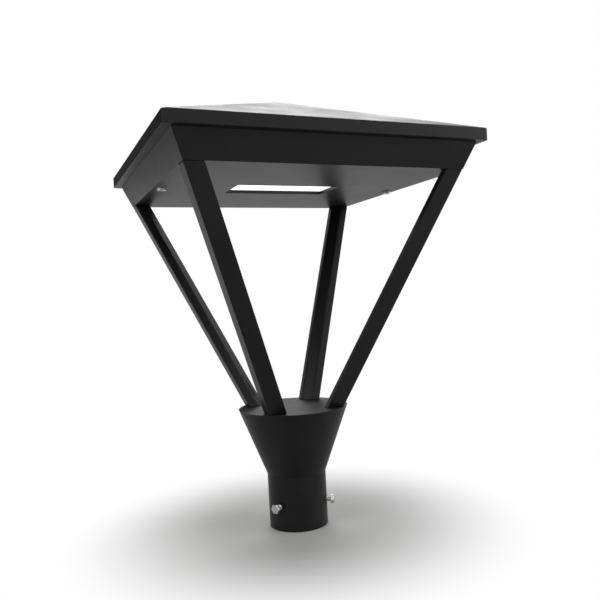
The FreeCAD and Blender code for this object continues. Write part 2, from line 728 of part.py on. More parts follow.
def make_head_housing():
    """Cast tray: sloping skirt, panel with the window, flange, pads and bosses."""
    outside = skirt_outside()
    inside = square_taper("skirt_base_half + lean * floor_thickness - skirt_wall", "floor_top",
                          "skirt_top_half + lean - skirt_wall", "rim_base + 1")
    flange = common(
        skirt_outside(),
        frame("rim_base - flange_thickness", "2 * head_half", "2 * head_half",
              "head_half - skirt_top_half + skirt_wall + flange_width", "flange_thickness"))
    bosses = [rod(across, deep, "floor_top - 1", "boss_radius", "retainer_base - floor_top + 1")
              for across, deep in boss_spots()]
    bosses += [rod(across, deep, "floor_top - 1", "standoff_across / 2", "retainer_base - floor_top + 1")
               for across, deep in standoff_spots()]
    pads = [block(across, deep, "floor_top - 1", "ear_length", "terminal_width", "gear_pad_height + 1")
            for across, deep in gear_spots()]
    earth = rod(*earth_spot(), "floor_top - 1", "boss_radius", "gear_pad_height + 1")
    guides = [rod(f"{side} * latch_offset", "0", "floor_top - 1", "latch_boss_radius",
                  "latch_boss_height + 1") for side in SIDES]
    tray = fuse(cut(outside, inside), flange, *bosses, *pads, earth, *guides)
    holes = [block("0", "0", "skirt_base - 1", "window_length", "window_width", "floor_thickness + 2")]
    holes.append(frame("rim_base - groove_depth", "2 * gasket_half + groove_width",
                       "2 * gasket_half + groove_width", "groove_width", "groove_depth + 1"))
    holes += [rod(f"{across} * crown_centre", f"{deep} * crown_centre", "skirt_base - 1",
                  "nipple_radius + fit_gap", "floor_thickness + 2") for across, deep in CORNERS]
    holes += [rod(f"{side} * latch_offset", "0", "skirt_base - 1", "stud_radius + fit_gap",
                  "floor_thickness + latch_boss_height + 2") for side in SIDES]
    holes += [small_thread(across, deep, "retainer_base") for across, deep in boss_spots()]
    holes += [small_thread(across, deep, "retainer_base") for across, deep in standoff_spots()]
    holes += [small_thread(across, deep, "gear_base") for across, deep in gear_spots()]
    holes.append(small_thread(*earth_spot(), "gear_base"))
    keep("head_housing", cut(tray, *holes))


def skirt_outside():
    """The whole space inside the skirt's outer faces."""
    return square_taper("skirt_base_half", "skirt_base", "skirt_top_half", "rim_base")


def make_roof_gasket():
    """Seal in the flange's groove, a little proud of it."""
    outer = "2 * gasket_half + groove_width - 2 * gasket_side_gap"
    keep("roof_gasket", frame("rim_base - groove_depth", outer, outer,
                              "groove_width - 2 * gasket_side_gap", "groove_depth + seat_gap"))


# Roof


def rounded_column(half, corner, level, height):
    """An upright square column with rounded edges."""
    side = f"2 * ({half})"
    narrow = f"2 * ({half}) - 2 * ({corner})"
    spot = f"(({half}) - ({corner}))"
    edges = [rod(f"{across} * {spot}", f"{deep} * {spot}", level, corner, height)
             for across, deep in CORNERS]
    return fuse(block("0", "0", level, side, narrow, height),
                block("0", "0", level, narrow, side, height), *edges)


def roof_outside():
    """Rim and pyramid as one solid with rounded rim corners."""
    rise = "apex_top - roof_base"
    column = rounded_column("head_half", "rim_corner", "roof_base", rise)
    rim = block("0", "0", "roof_base", "2 * head_half", "2 * head_half", "rim_top - roof_base")
    pyramid = square_taper("head_half", "rim_top", "apex_half", "apex_top")
    return common(column, fuse(rim, pyramid))


def roof_inside():
    """The hollow of the roof, open between its lips."""
    inner = "head_half - roof_wall"
    eave = block("0", "0", "lip_top", f"2 * ({inner})", f"2 * ({inner})", "inner_eave - lip_top")
    hollow = square_taper(inner, "inner_eave", "apex_half", "apex_top - roof_wall_upright")
    mouth = "2 * (head_half - lip_width)"
    return fuse(eave, hollow, block("0", "0", "roof_base - 1", mouth, mouth, "lip_thickness + 2"))


def latch_space(side, level, top):
    """The column over one latch, between two levels."""
    return block(f"{side} * latch_offset", "0", level, "block_length", "block_width",
                 f"({top}) - ({level})")


def mitre(*hips):
    """The upright sector that one panel fills, out from the axis between its two hips."""
    ends = [(f"{across} * 2 * head_half", f"{deep} * 2 * head_half") for across, deep in hips]
    return flat((("0", "0"), *ends), "rim_top", "roof_rise")


def make_roof():
    """Welded roof: four panels mitred at the hips, and the rim with its inward lip."""
    shell = cut(roof_outside(), roof_inside())
    panels = [common(shell, mitre(*hips)) for hips in zip(HIPS, HIPS[1:] + HIPS[:1])]
    keep("roof_panels", group(panels))
    low = block("0", "0", "roof_base", "2 * head_half", "2 * head_half", "rim_top - roof_base")
    ways = [latch_space(side, "roof_base - 1", "strike_top") for side in SIDES]
    keep("roof_rim", cut(common(shell, low), *ways))


def make_latch_blocks():
    """Blocks welded under the roof's side panels, with room for the studs' bars."""
    blocks = []
    for side in SIDES:
        across = f"{side} * latch_offset"
        room = rod(across, "0", "strike_top - 1", "block_room_radius", "block_room_height + 1")
        threads = [rod(across, f"{end} * strike_screw_spacing / 2", "strike_top - 1",
                       "strike_screw_radius + fit_gap", "strike_screw_bite + fit_gap + 1")
                   for end in SIDES]
        solid = common(latch_space(side, "strike_top", "apex_top"), roof_inside())
        blocks.append(cut(solid, room, *threads))
    keep("latch_blocks", group(blocks))


# Hinges and quarter-turn studs


def knuckle(centre, width):
    """A hinge knuckle across the pin's axis."""
    return cross_rod(f"({centre}) - ({width}) / 2", "pivot_back", "pivot_level",
                     "knuckle_radius", width)


def bracket_centres():
    """The housing has a knuckle on each side of each of the roof's."""
    step = "(roof_knuckle_width + housing_knuckle_width) / 2 + knuckle_gap"
    return [f"{side} * hinge_half_span + {hand} * ({step})" for side, hand in CORNERS]


def pin_bores():
    """The holes of the two hinge pins through all their knuckles."""
    length = "roof_knuckle_width + 2 * housing_knuckle_width + 2 * knuckle_gap + 2"
    return [cross_rod(f"{side} * hinge_half_span - ({length}) / 2", "pivot_back", "pivot_level",
                      "pin_radius + fit_gap", length) for side in SIDES]


def make_hinge_brackets():
    """Knuckles welded to the skirt's rear face."""
    brackets = []
    reach = "pivot_back - skirt_half_at_pivot + skirt_wall"
    for centre in bracket_centres():
        arm = block(centre, f"pivot_back - ({reach}) / 2", "pivot_level - knuckle_radius",
                    "housing_knuckle_width", reach, "2 * knuckle_radius")
        round_end = knuckle(centre, "housing_knuckle_width")
        brackets.append(cut(fuse(arm, round_end), skirt_outside(), *pin_bores()))
    keep("hinge_brackets", group(brackets))


def make_hinge_leaves():
    """Knuckles welded under the roof's lip, each with the heel that stops the open roof."""
    leaves = []
    for side in SIDES:
        centre = f"{side} * hinge_half_span"
        stem = block(centre, "pivot_back", "pivot_level", "roof_knuckle_width",
                     "2 * knuckle_radius", "roof_base - pivot_level")
        heel = block(centre, "pivot_back + heel_width / 2", "pivot_level - heel_reach",
                     "roof_knuckle_width", "heel_width", "heel_reach")
        leaves.append(cut(fuse(knuckle(centre, "roof_knuckle_width"), stem, heel), *pin_bores()))
    keep("hinge_leaves", group(leaves))


def make_hinge_pins():
    """Headed pins and the rings on their ends."""
    pins, clips = [], []
    reach = "roof_knuckle_width / 2 + housing_knuckle_width + 2 * knuckle_gap"
    for side in SIDES:
        left = f"{side} * hinge_half_span - ({reach})"
        length = f"2 * ({reach}) + pin_clip_thickness + pin_past_clip"
        shank = cross_rod(left, "pivot_back", "pivot_level", "pin_radius", length)
        head = cross_rod(f"{left} - pin_head_thickness", "pivot_back", "pivot_level",
                         "pin_head_radius", "pin_head_thickness")
        pins.append(fuse(shank, head))
        right = f"{side} * hinge_half_span + ({reach})"
        clips.append(cut(
            cross_rod(right, "pivot_back", "pivot_level", "pin_head_radius", "pin_clip_thickness"),
            cross_rod(f"{right} - 1", "pivot_back", "pivot_level", "pin_radius + fit_gap",
                      "pin_clip_thickness + 2")))
    keep("hinge_pins", group(pins))
    keep("hinge_clips", group(clips))


def make_latches():
    """A slotted stud with a cross bar on each side, and the ring that keeps it."""
    for name, side in (("left", -1), ("right", 1)):
        across = f"{side} * latch_offset"
        shank = rod(across, "0", "skirt_base", "stud_radius", "stud_top - skirt_base")
        head = rod(across, "0", "skirt_base - stud_head_height", "stud_head_radius",
                   "stud_head_height")
        bar = block(across, "0", "stud_bar_base", "stud_bar_width", "stud_bar_length",
                    "stud_bar_width")
        slot = block(across, "0", "skirt_base - stud_head_height - 1", "stud_slot_width",
                     "3 * stud_head_radius", "stud_slot_depth + 1")
        keep(f"latch_stud_{name}", cut(fuse(shank, head, bar), slot))
        keep(f"latch_clip_{name}", ring(across, "0", "latch_boss_top + fit_gap", "stud_clip_radius",
                                        "stud_radius + fit_gap", "stud_clip_thickness"))


def strike_screw_spots():
    """Two screws hold each strike to its block."""
    return [(f"{side} * latch_offset", f"{end} * strike_screw_spacing / 2")
            for side, end in CORNERS]


def make_strikes():
    """Slotted plates that the studs' bars turn over, and their screws."""
    strikes = []
    for side in SIDES:
        across = f"{side} * latch_offset"
        plate = latch_space(side, "strike_base", "strike_top")
        slot = block(across, "0", "strike_base - 1", "stud_bar_width + 2 * strike_slot_gap",
                     "stud_bar_length + 2 * strike_slot_gap", "strike_thickness + 2")
        eye = rod(across, "0", "strike_base - 1", "stud_radius + strike_slot_gap",
                  "strike_thickness + 2")
        screw_holes = [rod(across, f"{end} * strike_screw_spacing / 2", "strike_base - 1",
                           "strike_screw_radius + fit_gap", "strike_thickness + 2") for end in SIDES]
        strikes.append(cut(plate, slot, eye, *screw_holes))
    keep("latch_strikes", group(strikes))
    length = "strike_thickness + strike_screw_bite"
    screws = [fuse(rod(across, deep, "strike_base", "strike_screw_radius", length),
                   rod(across, deep, "strike_base - strike_head_height", "strike_head_radius",
                       "strike_head_height"))
              for across, deep in strike_screw_spots()]
    keep("strike_screws", group(screws))


# Light window


def make_window():
    """Seal, opal glass, holding frame and screws over the opening."""
    keep("window_gasket", flat(rectangle("glass_length", "glass_width"), "floor_top",
                               "window_gasket_thickness", rectangle("window_length", "window_width")))
    keep("window_glass", flat(rectangle("glass_length", "glass_width"), "glass_base",
                              "glass_thickness"))
    border = flat(rectangle("retainer_length", "retainer_width"), "retainer_base",
                  "retainer_thickness", rectangle("window_length", "window_width"))
    holes = [rod(across, deep, "retainer_base - 1", "small_screw_radius + fit_gap",
                 "retainer_thickness + 2") for across, deep in boss_spots()]
    keep("window_retainer", cut(border, *holes))
    keep("retainer_screws", group([small_screw(across, deep, "retainer_top", "retainer_thickness")
                                   for across, deep in boss_spots()]))


# Light engine


def make_light_engine():
    """Mixing box, lamp board with its sources and connector, and the heat pad."""
    keep("light_box", frame("retainer_top", "light_box_length", "light_box_width",
                            "light_box_wall", "light_box_height"))
    half = "board_length / 2"
    keep("lamp_board", flat(((f"-{half}", "-board_front"), (half, "-board_front"),
                             (half, "board_back"), (f"-{half}", "board_back")),
                            "board_base", "board_thickness"))
    chips = [block(f"{column} * chip_pitch", f"{row} * chip_pitch", "board_base - chip_height",
                   "chip_size", "chip_size", "chip_height")
             for row in CHIP_ROWS for column in CHIP_COLUMNS]
    keep("lamp_chips", group(chips))
    keep("board_connector", block("plug_offset", "board_back - plug_depth / 2",
                                  "board_base - plug_height", "plug_length", "plug_depth",
                                  "plug_height"))
    keep("heat_pad", flat(rectangle("light_box_length", "light_box_width"), "pad_base",
                          "pad_thickness"))


def make_heat_sink():
    """Finned plate on four standoffs, pressed on the heat pad."""
    body = flat(rectangle("sink_length", "sink_width"), "sink_bottom", "sink_base")
    first = draw(body, "XY_Plane", "sink_bottom + sink_base")
    left = "-fin_span / 2"
    outline(first, ((f"{left} - fin_thickness / 2", "-sink_width / 2"),
                    (f"{left} + fin_thickness / 2", "-sink_width / 2"),
                    (f"{left} + fin_thickness / 2", "sink_width / 2"),
                    (f"{left} - fin_thickness / 2", "sink_width / 2")))
    fin = body.newObject("PartDesign::Pad", "Fin")
    fin.Profile = first
    bind(fin, Length="fin_height")
    fins = body.newObject("PartDesign::LinearPattern", "Fins")
    fins.Originals = [fin]
    fins.Direction = (first, ["H_Axis"])
    fins.Occurrences = FIN_COUNT
    bind(fins, Length="fin_span")
    body.Tip = fins
    holes = [rod(across, deep, "sink_bottom - 1", "small_screw_radius + fit_gap", "sink_base + 2")
             for across, deep in standoff_spots()]
    keep("heat_sink", cut(body, *holes))
    keep("sink_standoffs", group([
        cut(fuse(hexagon(across, deep, "retainer_base", "standoff_across", "sink_bottom - retainer_base"),
                 rod(across, deep, "retainer_base - small_screw_bite", "small_screw_radius",
                     "small_screw_bite + 1")),
            small_thread(across, deep, "sink_bottom"))
        for across, deep in standoff_spots()]))
    keep("sink_screws", group([small_screw(across, deep, "sink_bottom + sink_base", "sink_base")
                               for across, deep in standoff_spots()]))


# Gear


def eared_case(centre, length, width, height):
    """A gear case with a screw ear at each end, on the floor's pads."""
    case = block(centre, "gear_line", "gear_base", length, width, height)
    foot = block(centre, "gear_line", "gear_base", f"({length}) + 2 * ear_length", "terminal_width",
                 "ear_thickness")
    holes = [rod(across, deep, "gear_base - 1", "small_screw_radius + fit_gap", "ear_thickness + 2")
             for across, deep in ear_spots(centre, length)]
    return cut(fuse(case, foot), *holes)


def make_gear():
    """Driver, terminal block, their screws and the earth screw."""
    keep("led_driver", eared_case("0", "driver_length", "driver_width", "driver_height"))
    wells = [(f"terminal_offset + {step} * well_pitch", "gear_line") for step in (-1, 0, 1)]
    well_base = "gear_base + terminal_height - well_depth"
    case = eared_case("terminal_offset", "terminal_length", "terminal_width", "terminal_height")
    keep("terminal_block", cut(case, *[rod(across, deep, well_base, "well_radius", "well_depth + 1")
                                       for across, deep in wells]))
    keep("terminal_clamps", group([
        cut(rod(across, deep, well_base, "wire_clamp_radius", "wire_clamp_height"),
            block(across, deep, f"{well_base} + wire_clamp_height - wire_clamp_slot_depth",
                  "2 * well_radius", "wire_clamp_slot", "well_depth"))
        for across, deep in wells]))
    keep("gear_screws", group([small_screw(across, deep, "ear_top", "ear_thickness")
                               for across, deep in gear_spots()]))
    keep("earth_screw", small_screw(*earth_spot(), "gear_base", "0"))


# Cables held inside


def bent_path(spots, radii):
    """Straight runs through the spots, joined by tangent arcs of the given radii."""
    edges, start = [], spots[0]
    for before, corner, after, radius in zip(spots, spots[1:], spots[2:], radii):
        into = (before - corner).normalize()
        away = (after - corner).normalize()
        turn = math.pi - into.getAngle(away)
        reach = radius * math.tan(turn / 2)
        begin, end = corner + into * reach, corner + away * reach
        inward = (into + away).normalize()
        middle = corner + inward * (radius / math.cos(turn / 2) - radius)
        edges.append(Part.LineSegment(start, begin).toShape())
        edges.append(Part.Arc(begin, middle, end).toShape())
        start = end
    edges.append(Part.LineSegment(start, spots[-1]).toShape())
    return Part.Wire(edges)


def tube_along(label, spots, radii, radius):
    """A round cable along a bent path."""
    points = [Vector(*[number(words) for words in spot]) for spot in spots]
    path = bent_path(points, radii)
    circle = Part.makeCircle(radius, points[0], points[1] - points[0])
    item = document.addObject("Part::Feature", "Cable")
    item.Shape = path.makePipeShell([Part.Wire([circle])], True, False)
    section = math.pi * radius ** 2
    print(f"{label}: length {path.Length:.1f} mm, bends {[round(bend, 1) for bend in radii]} mm, "
          f"volume over section times length {item.Shape.Volume / (section * path.Length):.4f}")
    keep(label, item)


def make_cables():
    """Supply cable through the rear left strut, and the two leads of the lamp board."""
    foot, crown = ("-foot_centre", "foot_centre"), ("-crown_centre", "crown_centre")
    inlet_edge = "inlet_radius / sqrt(2)"
    radii = [number("cable_start_bend"), number("cable_bend"), number("cable_bend"),
             number("cable_turn"), number("cable_turn")]
    tube_along("supply_cable", (
        (f"-{inlet_edge}", inlet_edge, "cable_entry"),
        (*foot, "cable_entry"),
        (*foot, "plate_top + cable_knee"),
        (*crown, "strut_top - cable_knee"),
        (*crown, "cable_peak"),
        ("terminal_offset", "crown_centre", "lead_height"),
        ("terminal_offset", "gear_line + terminal_width / 2", "lead_height"),
    ), radii, number("cable_radius"))
    right_face = "terminal_offset + terminal_length / 2"
    keep("driver_lead", cross_rod(right_face, "gear_line", "lead_height", "lead_radius",
                                  f"-driver_length / 2 - ({right_face})"))
    run = "lead_run"
    turn = number("lead_bend")
    tube_along("lamp_lead", (
        ("driver_length / 2", "gear_line", "lead_height"),
        (f"driver_length / 2 + {run}", "gear_line", "lead_height"),
        (f"driver_length / 2 + {run}", "(gear_line + board_back) / 2", "plug_level"),
        ("plug_offset", "(gear_line + board_back) / 2", "plug_level"),
        ("plug_offset", "board_back", "plug_level"),
    ), [turn, turn, turn], number("lead_radius"))


def inlet_screw_spots():
    """Three screws hold the inlet's flange under the plate."""
    return [(f"{math.cos(math.radians(angle)):.9f} * inlet_screw_circle",
             f"{math.sin(math.radians(angle)):.9f} * inlet_screw_circle")
            for angle in (0, 120, 240)]


def make_inlet():
    """Inlet connector under the plate, its gland and its screws."""
    body = fuse(rod("0", "0", "plate_base - inlet_height", "inlet_radius", "inlet_height"),
                rod("0", "0", "plate_base - inlet_flange_thickness", "inlet_flange_radius",
                    "inlet_flange_thickness"))
    holes = [rod(across, deep, "plate_base - inlet_flange_thickness - 1",
                 "small_screw_radius + fit_gap", "inlet_flange_thickness + 2")
             for across, deep in inlet_screw_spots()]
    way = rod("0", "0", "plate_base - inlet_height - 1", "inlet_way_radius", "inlet_way_depth + 1")
    keep("inlet_connector", cut(body, way, *holes))
    gland = fuse(
        rod("0", "0", "plate_base - inlet_height - gland_height", "gland_radius", "gland_height"),
        hexagon("0", "0", "plate_base - inlet_height - gland_nut_height", "gland_nut_across",
                "gland_nut_height"))
    bore = rod("0", "0", "plate_base - inlet_height - gland_height - 1", "gland_bore",
               "gland_height + 2")
    keep("cable_gland", cut(gland, bore))
    length = "inlet_flange_thickness + plate_screw_bite"
    keep("inlet_screws", group([
        socket_screw(across, deep, "plate_base - inlet_flange_thickness", "small_screw_radius",
                     length, "small_head_radius", "small_head_height", down=False)
        for across, deep in inlet_screw_spots()]))


def check_pieces():
    """Stop if any object failed or any piece has no valid shape."""
    for item in document.Objects:
        if "Invalid" in item.State or "Error" in item.State:
            raise RuntimeError(f"{item.Label} failed: {item.State}")
    for item in pieces:
        if item.Shape.isNull() or not item.Shape.isValid() or not item.Shape.Solids:
            raise RuntimeError(f"{item.Label} has no valid solid")


def write_pieces():
    """Write each piece to a file of its own name."""
    os.makedirs("parts", exist_ok=True)
    for item in pieces:
        item.Shape.exportStep(f"parts/{item.Label}.step")
        box = item.Shape.BoundBox
        print(f"{item.Label}: {len(item.Shape.Solids)} solids, {item.Shape.Volume:.0f} mm3, "
              f"z {box.ZMin:.1f} to {box.ZMax:.1f}")


def main():
    """Build every piece, check it and write it."""
    fill_sheet()
    make_post_sleeve()
    make_cone()
    make_clamp_bolts()
    make_top_plate()
    make_plate_screws()
    make_struts()
    make_nipples()
    make_head_housing()
    make_roof_gasket()
    make_roof()
    make_latch_blocks()
    make_hinge_brackets()
    make_hinge_leaves()
    make_hinge_pins()
    make_latches()
    make_strikes()
    make_window()
    make_light_engine()
    make_heat_sink()
    make_gear()
    make_cables()
    make_inlet()
    document.recompute()
    check_pieces()
    write_pieces()


main()
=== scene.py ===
"""The finished look of the post top lantern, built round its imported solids.

Metres, +Z up, with the front at -Y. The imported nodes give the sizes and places. Each class below
builds and dresses one sub-assembly, and main() builds them in order.
"""
import json
import logging
import math
from dataclasses import dataclass, field
from enum import Enum
from typing import Callable, Mapping, Sequence

import bmesh
import bpy
from mathutils import Matrix, Vector

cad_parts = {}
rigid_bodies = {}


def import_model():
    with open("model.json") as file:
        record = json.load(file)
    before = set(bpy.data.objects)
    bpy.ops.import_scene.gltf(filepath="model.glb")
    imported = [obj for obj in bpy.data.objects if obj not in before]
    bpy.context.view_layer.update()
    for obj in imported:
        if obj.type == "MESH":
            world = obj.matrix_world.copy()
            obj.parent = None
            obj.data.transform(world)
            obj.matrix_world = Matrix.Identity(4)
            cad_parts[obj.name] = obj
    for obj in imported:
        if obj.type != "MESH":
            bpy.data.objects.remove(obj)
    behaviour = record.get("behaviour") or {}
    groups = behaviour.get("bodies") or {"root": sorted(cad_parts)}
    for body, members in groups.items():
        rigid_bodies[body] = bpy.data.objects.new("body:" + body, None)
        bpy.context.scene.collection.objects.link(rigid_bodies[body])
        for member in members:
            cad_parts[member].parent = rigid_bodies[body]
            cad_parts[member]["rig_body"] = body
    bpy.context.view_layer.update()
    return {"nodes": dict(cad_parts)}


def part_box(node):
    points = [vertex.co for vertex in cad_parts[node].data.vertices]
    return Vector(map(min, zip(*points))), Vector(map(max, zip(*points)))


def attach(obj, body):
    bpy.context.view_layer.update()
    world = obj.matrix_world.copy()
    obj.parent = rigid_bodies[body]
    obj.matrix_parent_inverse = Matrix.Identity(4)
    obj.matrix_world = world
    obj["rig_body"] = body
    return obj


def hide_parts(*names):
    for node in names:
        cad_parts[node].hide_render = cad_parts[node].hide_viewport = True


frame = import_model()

Colour = tuple[float, float, float, float]
Spot = tuple[float, float, float]
Outline = Callable[[float], float]

FRAME_NODES = ("roof_gasket", "window_gasket", "window_retainer", "light_box")
SMALL_SHANK = 0.002
SMALL_HEAD = 0.0026
SMALL_PITCH = 0.0007
FACE_SHARE = 0.47
TIP_SHARE = 0.525
TURNED_ANGLE = math.radians(30)
FLAT_ANGLE = math.radians(0.6)
MERGE_GAP = 2e-6
LEVEL_GAP = 1e-5
THREAD_DEPTH = 0.5
CREST = (0.35, 0.6)

log = logging.getLogger("lantern")


class Slot(Enum):
    """Material slots of the record."""

    BLACK_COAT = "black_coat"
    STAINLESS = "stainless"
    ZINC_STEEL = "zinc_steel"
    NIPPLE_BRASS = "nipple_brass"
    RETAINER_STEEL = "retainer_steel"
    SEAL_RUBBER = "seal_rubber"
    OPAL_GLASS = "opal_glass"
    MIXING_WHITE = "mixing_white"
    BOARD_WHITE = "board_white"
    CHIP_YELLOW = "chip_yellow"
    CONNECTOR_CREAM = "connector_cream"
    PAD_GREY = "pad_grey"
    SINK_ALUMINIUM = "sink_aluminium"
    DRIVER_SHELL = "driver_shell"
    TERMINAL_GREY = "terminal_grey"
    CLAMP_BRASS = "clamp_brass"
    CABLE_SHEATH = "cable_sheath"
    LEAD_WHITE = "lead_white"
    INLET_BLACK = "inlet_black"
    GLAND_GREY = "gland_grey"


class Side(Enum):
    """Which way a screw's head faces from its seat."""

    UP = 1.0
    DOWN = -1.0


# Shader maths and materials


def find_input(node: bpy.types.Node, key: str | int) -> bpy.types.NodeSocket:
    """Find a node's input by its number, its identifier or its name."""
    if isinstance(key, int):
        return node.inputs[key]
    exact = next((socket for socket in node.inputs if socket.identifier == key), None)
    return exact or node.inputs[key]


def feed(tree: bpy.types.NodeTree, target: bpy.types.NodeSocket, value: object) -> None:
    """Link a signal or another socket to an input, or set it to a plain value."""
    source = value.socket if isinstance(value, Signal) else value
    if isinstance(source, bpy.types.NodeSocket):
        tree.links.new(source, target)
    else:
        target.default_value = source


def add_node(tree: bpy.types.NodeTree, kind: str, settings: Mapping[str, object],
             sockets: Mapping[str | int, object]) -> bpy.types.Node:
    """Add one node to a tree: its settings first, then the values or links of its sockets.

    Args:
        tree: The tree.
        kind: The node's type.
        settings: Properties of the node.
        sockets: A value, a signal, a socket or a list of sockets for each input.

    Returns:
        The node.
    """
    node = tree.nodes.new(kind)
    for name, value in settings.items():
        setattr(node, name, value)
    for key, value in sockets.items():
        for item in value if isinstance(value, list) else [value]:
            feed(tree, find_input(node, key), item)
    return node


def first_output(node: bpy.types.Node) -> bpy.types.NodeSocket | None:
    """A node's first enabled output."""
    return next((socket for socket in node.outputs if socket.enabled), None)


def operators(operation: str) -> tuple[Callable[["Signal", "Signal | float"], "Signal"], ...]:
    """A signal's operator for one Math node, and its twin for a plain number on the left.

    Args:
        operation: The Math node's operation.

    Returns:
        The two operators.
    """
    def result(signal: "Signal", first: object, second: object) -> "Signal":
        """The node's result."""
        return signal.surface.node("ShaderNodeMath", {"operation": operation},
                                   {0: first, 1: second})

    return (lambda signal, other: result(signal, signal, other),
            lambda signal, other: result(signal, other, signal))


class Signal:
    """A number that varies over a surface, with the usual arithmetic."""

    def __init__(self, surface: "Surface", socket: bpy.types.NodeSocket) -> None:
        """Wrap an output socket of a surface's node tree."""
        self.surface = surface
        self.socket = socket

    __add__, __radd__ = operators("ADD")
    __sub__, __rsub__ = operators("SUBTRACT")
    __mul__, __rmul__ = operators("MULTIPLY")

    def smooth(self, low: float, high: float) -> "Signal":
        """Rise softly from 0 at low to 1 at high."""
        return self.surface.node(
            "ShaderNodeMapRange", {"interpolation_type": "SMOOTHSTEP"},
            {"Value": self, "From Min": low, "From Max": high})


class Surface:
    """A material while it is put together: its node tree and the shader at its end."""

    def __init__(self, name: str) -> None:
        """Start a material with one Principled shader.

        Args:
            name: The material's name.
        """
        self.material = bpy.data.materials.new(name)
        self.material.use_nodes = True
        self.tree = self.material.node_tree
        self.tree.nodes.clear()
        self.shader = self.tree.nodes.new("ShaderNodeBsdfPrincipled")
        self.node("ShaderNodeOutputMaterial", {}, {"Surface": self.shader.outputs[0]})

    def node(self, kind: str, settings: Mapping[str, object],
             sockets: Mapping[str | int, object]) -> Signal:
        """Add one node."""
        return Signal(self, first_output(add_node(self.tree, kind, settings, sockets)))

    def finish(self, **values: object) -> None:
        """Feed the shader's inputs, named with underscores for spaces."""
        for name, value in values.items():
            feed(self.tree, self.shader.inputs[name.replace("_", " ")], value)

    def place(self, stretch: Spot = (1.0, 1.0, 1.0)) -> Signal:
        """The point on the piece in its own space."""
        source = self.tree.nodes.new("ShaderNodeTexCoord").outputs["Object"]
        return self.node("ShaderNodeMapping", {}, {"Vector": source, "Scale": stretch})

    def parts(self, vector: Signal | bpy.types.NodeSocket) -> tuple[Signal, Signal, Signal]:
        """The three numbers of a vector."""
        split = add_node(self.tree, "ShaderNodeSeparateXYZ", {}, {0: vector})
        across, deep, up = (Signal(self, socket) for socket in split.outputs)
        return across, deep, up

    def upward(self) -> Signal:
        """How far the surface faces up, from -1 to 1."""
        return self.parts(self.tree.nodes.new("ShaderNodeTexCoord").outputs["Normal"])[2]

    def noise(self, place: Signal, scale: float, detail: float = 2.0,
              rough: float = 0.5) -> Signal:
        """Cloudy noise from about 0.25 to 0.75."""
        return self.node("ShaderNodeTexNoise", {"noise_dimensions": "3D"},
                         {"Vector": place, "Scale": scale, "Detail": detail, "Roughness": rough})

    def cells(self, place: Signal, scale: float) -> Signal:
        """One random number for each small cell."""
        texture = add_node(self.tree, "ShaderNodeTexVoronoi", {}, {"Vector": place, "Scale": scale})
        return self.node("ShaderNodeSeparateColor", {}, {0: texture.outputs["Color"]})

    def mix(self, share: Signal | float, first: object, second: object) -> Signal:
        """Blend two colours."""
        return self.node("ShaderNodeMix", {"data_type": "RGBA"},
                         {"Factor_Float": share, "A_Color": first, "B_Color": second})

    def bump(self, height: Signal, distance: float, strength: float = 1.0) -> Signal:
        """A normal that follows a height."""
        return self.node("ShaderNodeBump", {}, {"Height": height, "Distance": distance,
                                                "Strength": strength})


@dataclass(frozen=True)
class PowderCoat:
    """Black powder coat: fine grain, soft cloudy gloss, thin dust where it faces up."""

    colour: Colour = (0.0105, 0.0112, 0.0112, 1.0)
    faded: Colour = (0.0150, 0.0154, 0.0150, 1.0)
    dust: Colour = (0.150, 0.146, 0.134, 1.0)
    roughness: float = 0.38
    reflectance: float = 0.22
    grain_scale: float = 1150.0
    grain_height: float = 0.00005
    cloud_scale: float = 16.0
    dust_cover: float = 0.30

    def paint(self, surface: Surface) -> None:
        """Build the coat on a surface."""
        place = surface.place()
        grain = surface.noise(place, self.grain_scale, detail=1.0)
        clouds = surface.noise(place, self.cloud_scale, detail=4.0, rough=0.6)
        flecks = surface.noise(place, self.grain_scale / 4.0, detail=3.0).smooth(0.55, 0.75)
        dust = surface.upward().smooth(0.6, 1.0) * clouds.smooth(0.25, 0.8) * self.dust_cover
        film = surface.mix(clouds.smooth(0.3, 0.75), self.colour, self.faded)
        surface.finish(
            Base_Color=surface.mix(dust * (0.6 + 0.4 * flecks), film, self.dust),
            Roughness=self.roughness + 0.10 * (clouds - 0.5) + 0.35 * dust,
            Specular_IOR_Level=self.reflectance,
            Normal=surface.bump(grain, self.grain_height, 0.5))


@dataclass(frozen=True)
class Metal:
    """Bare or plated metal with drawn streaks, dull spots and a little tarnish."""

    colour: Colour
    tarnish: Colour
    roughness: float = 0.28
    stretch: Spot = (1.0, 1.0, 14.0)
    streak_scale: float = 420.0
    streak_height: float = 0.000012
    spot_scale: float = 140.0
    tarnish_share: float = 0.35

    def paint(self, surface: Surface) -> None:
        """Build the metal on a surface."""
        streaks = surface.noise(surface.place(self.stretch), self.streak_scale, detail=3.0)
        spots = surface.noise(surface.place(), self.spot_scale, detail=3.0).smooth(0.42, 0.68)
        surface.finish(
            Base_Color=surface.mix(spots * self.tarnish_share, self.colour, self.tarnish),
            Metallic=1.0,
            Roughness=self.roughness + 0.18 * (streaks - 0.5) + 0.10 * spots,
            Normal=surface.bump(streaks, self.streak_height, 0.6))


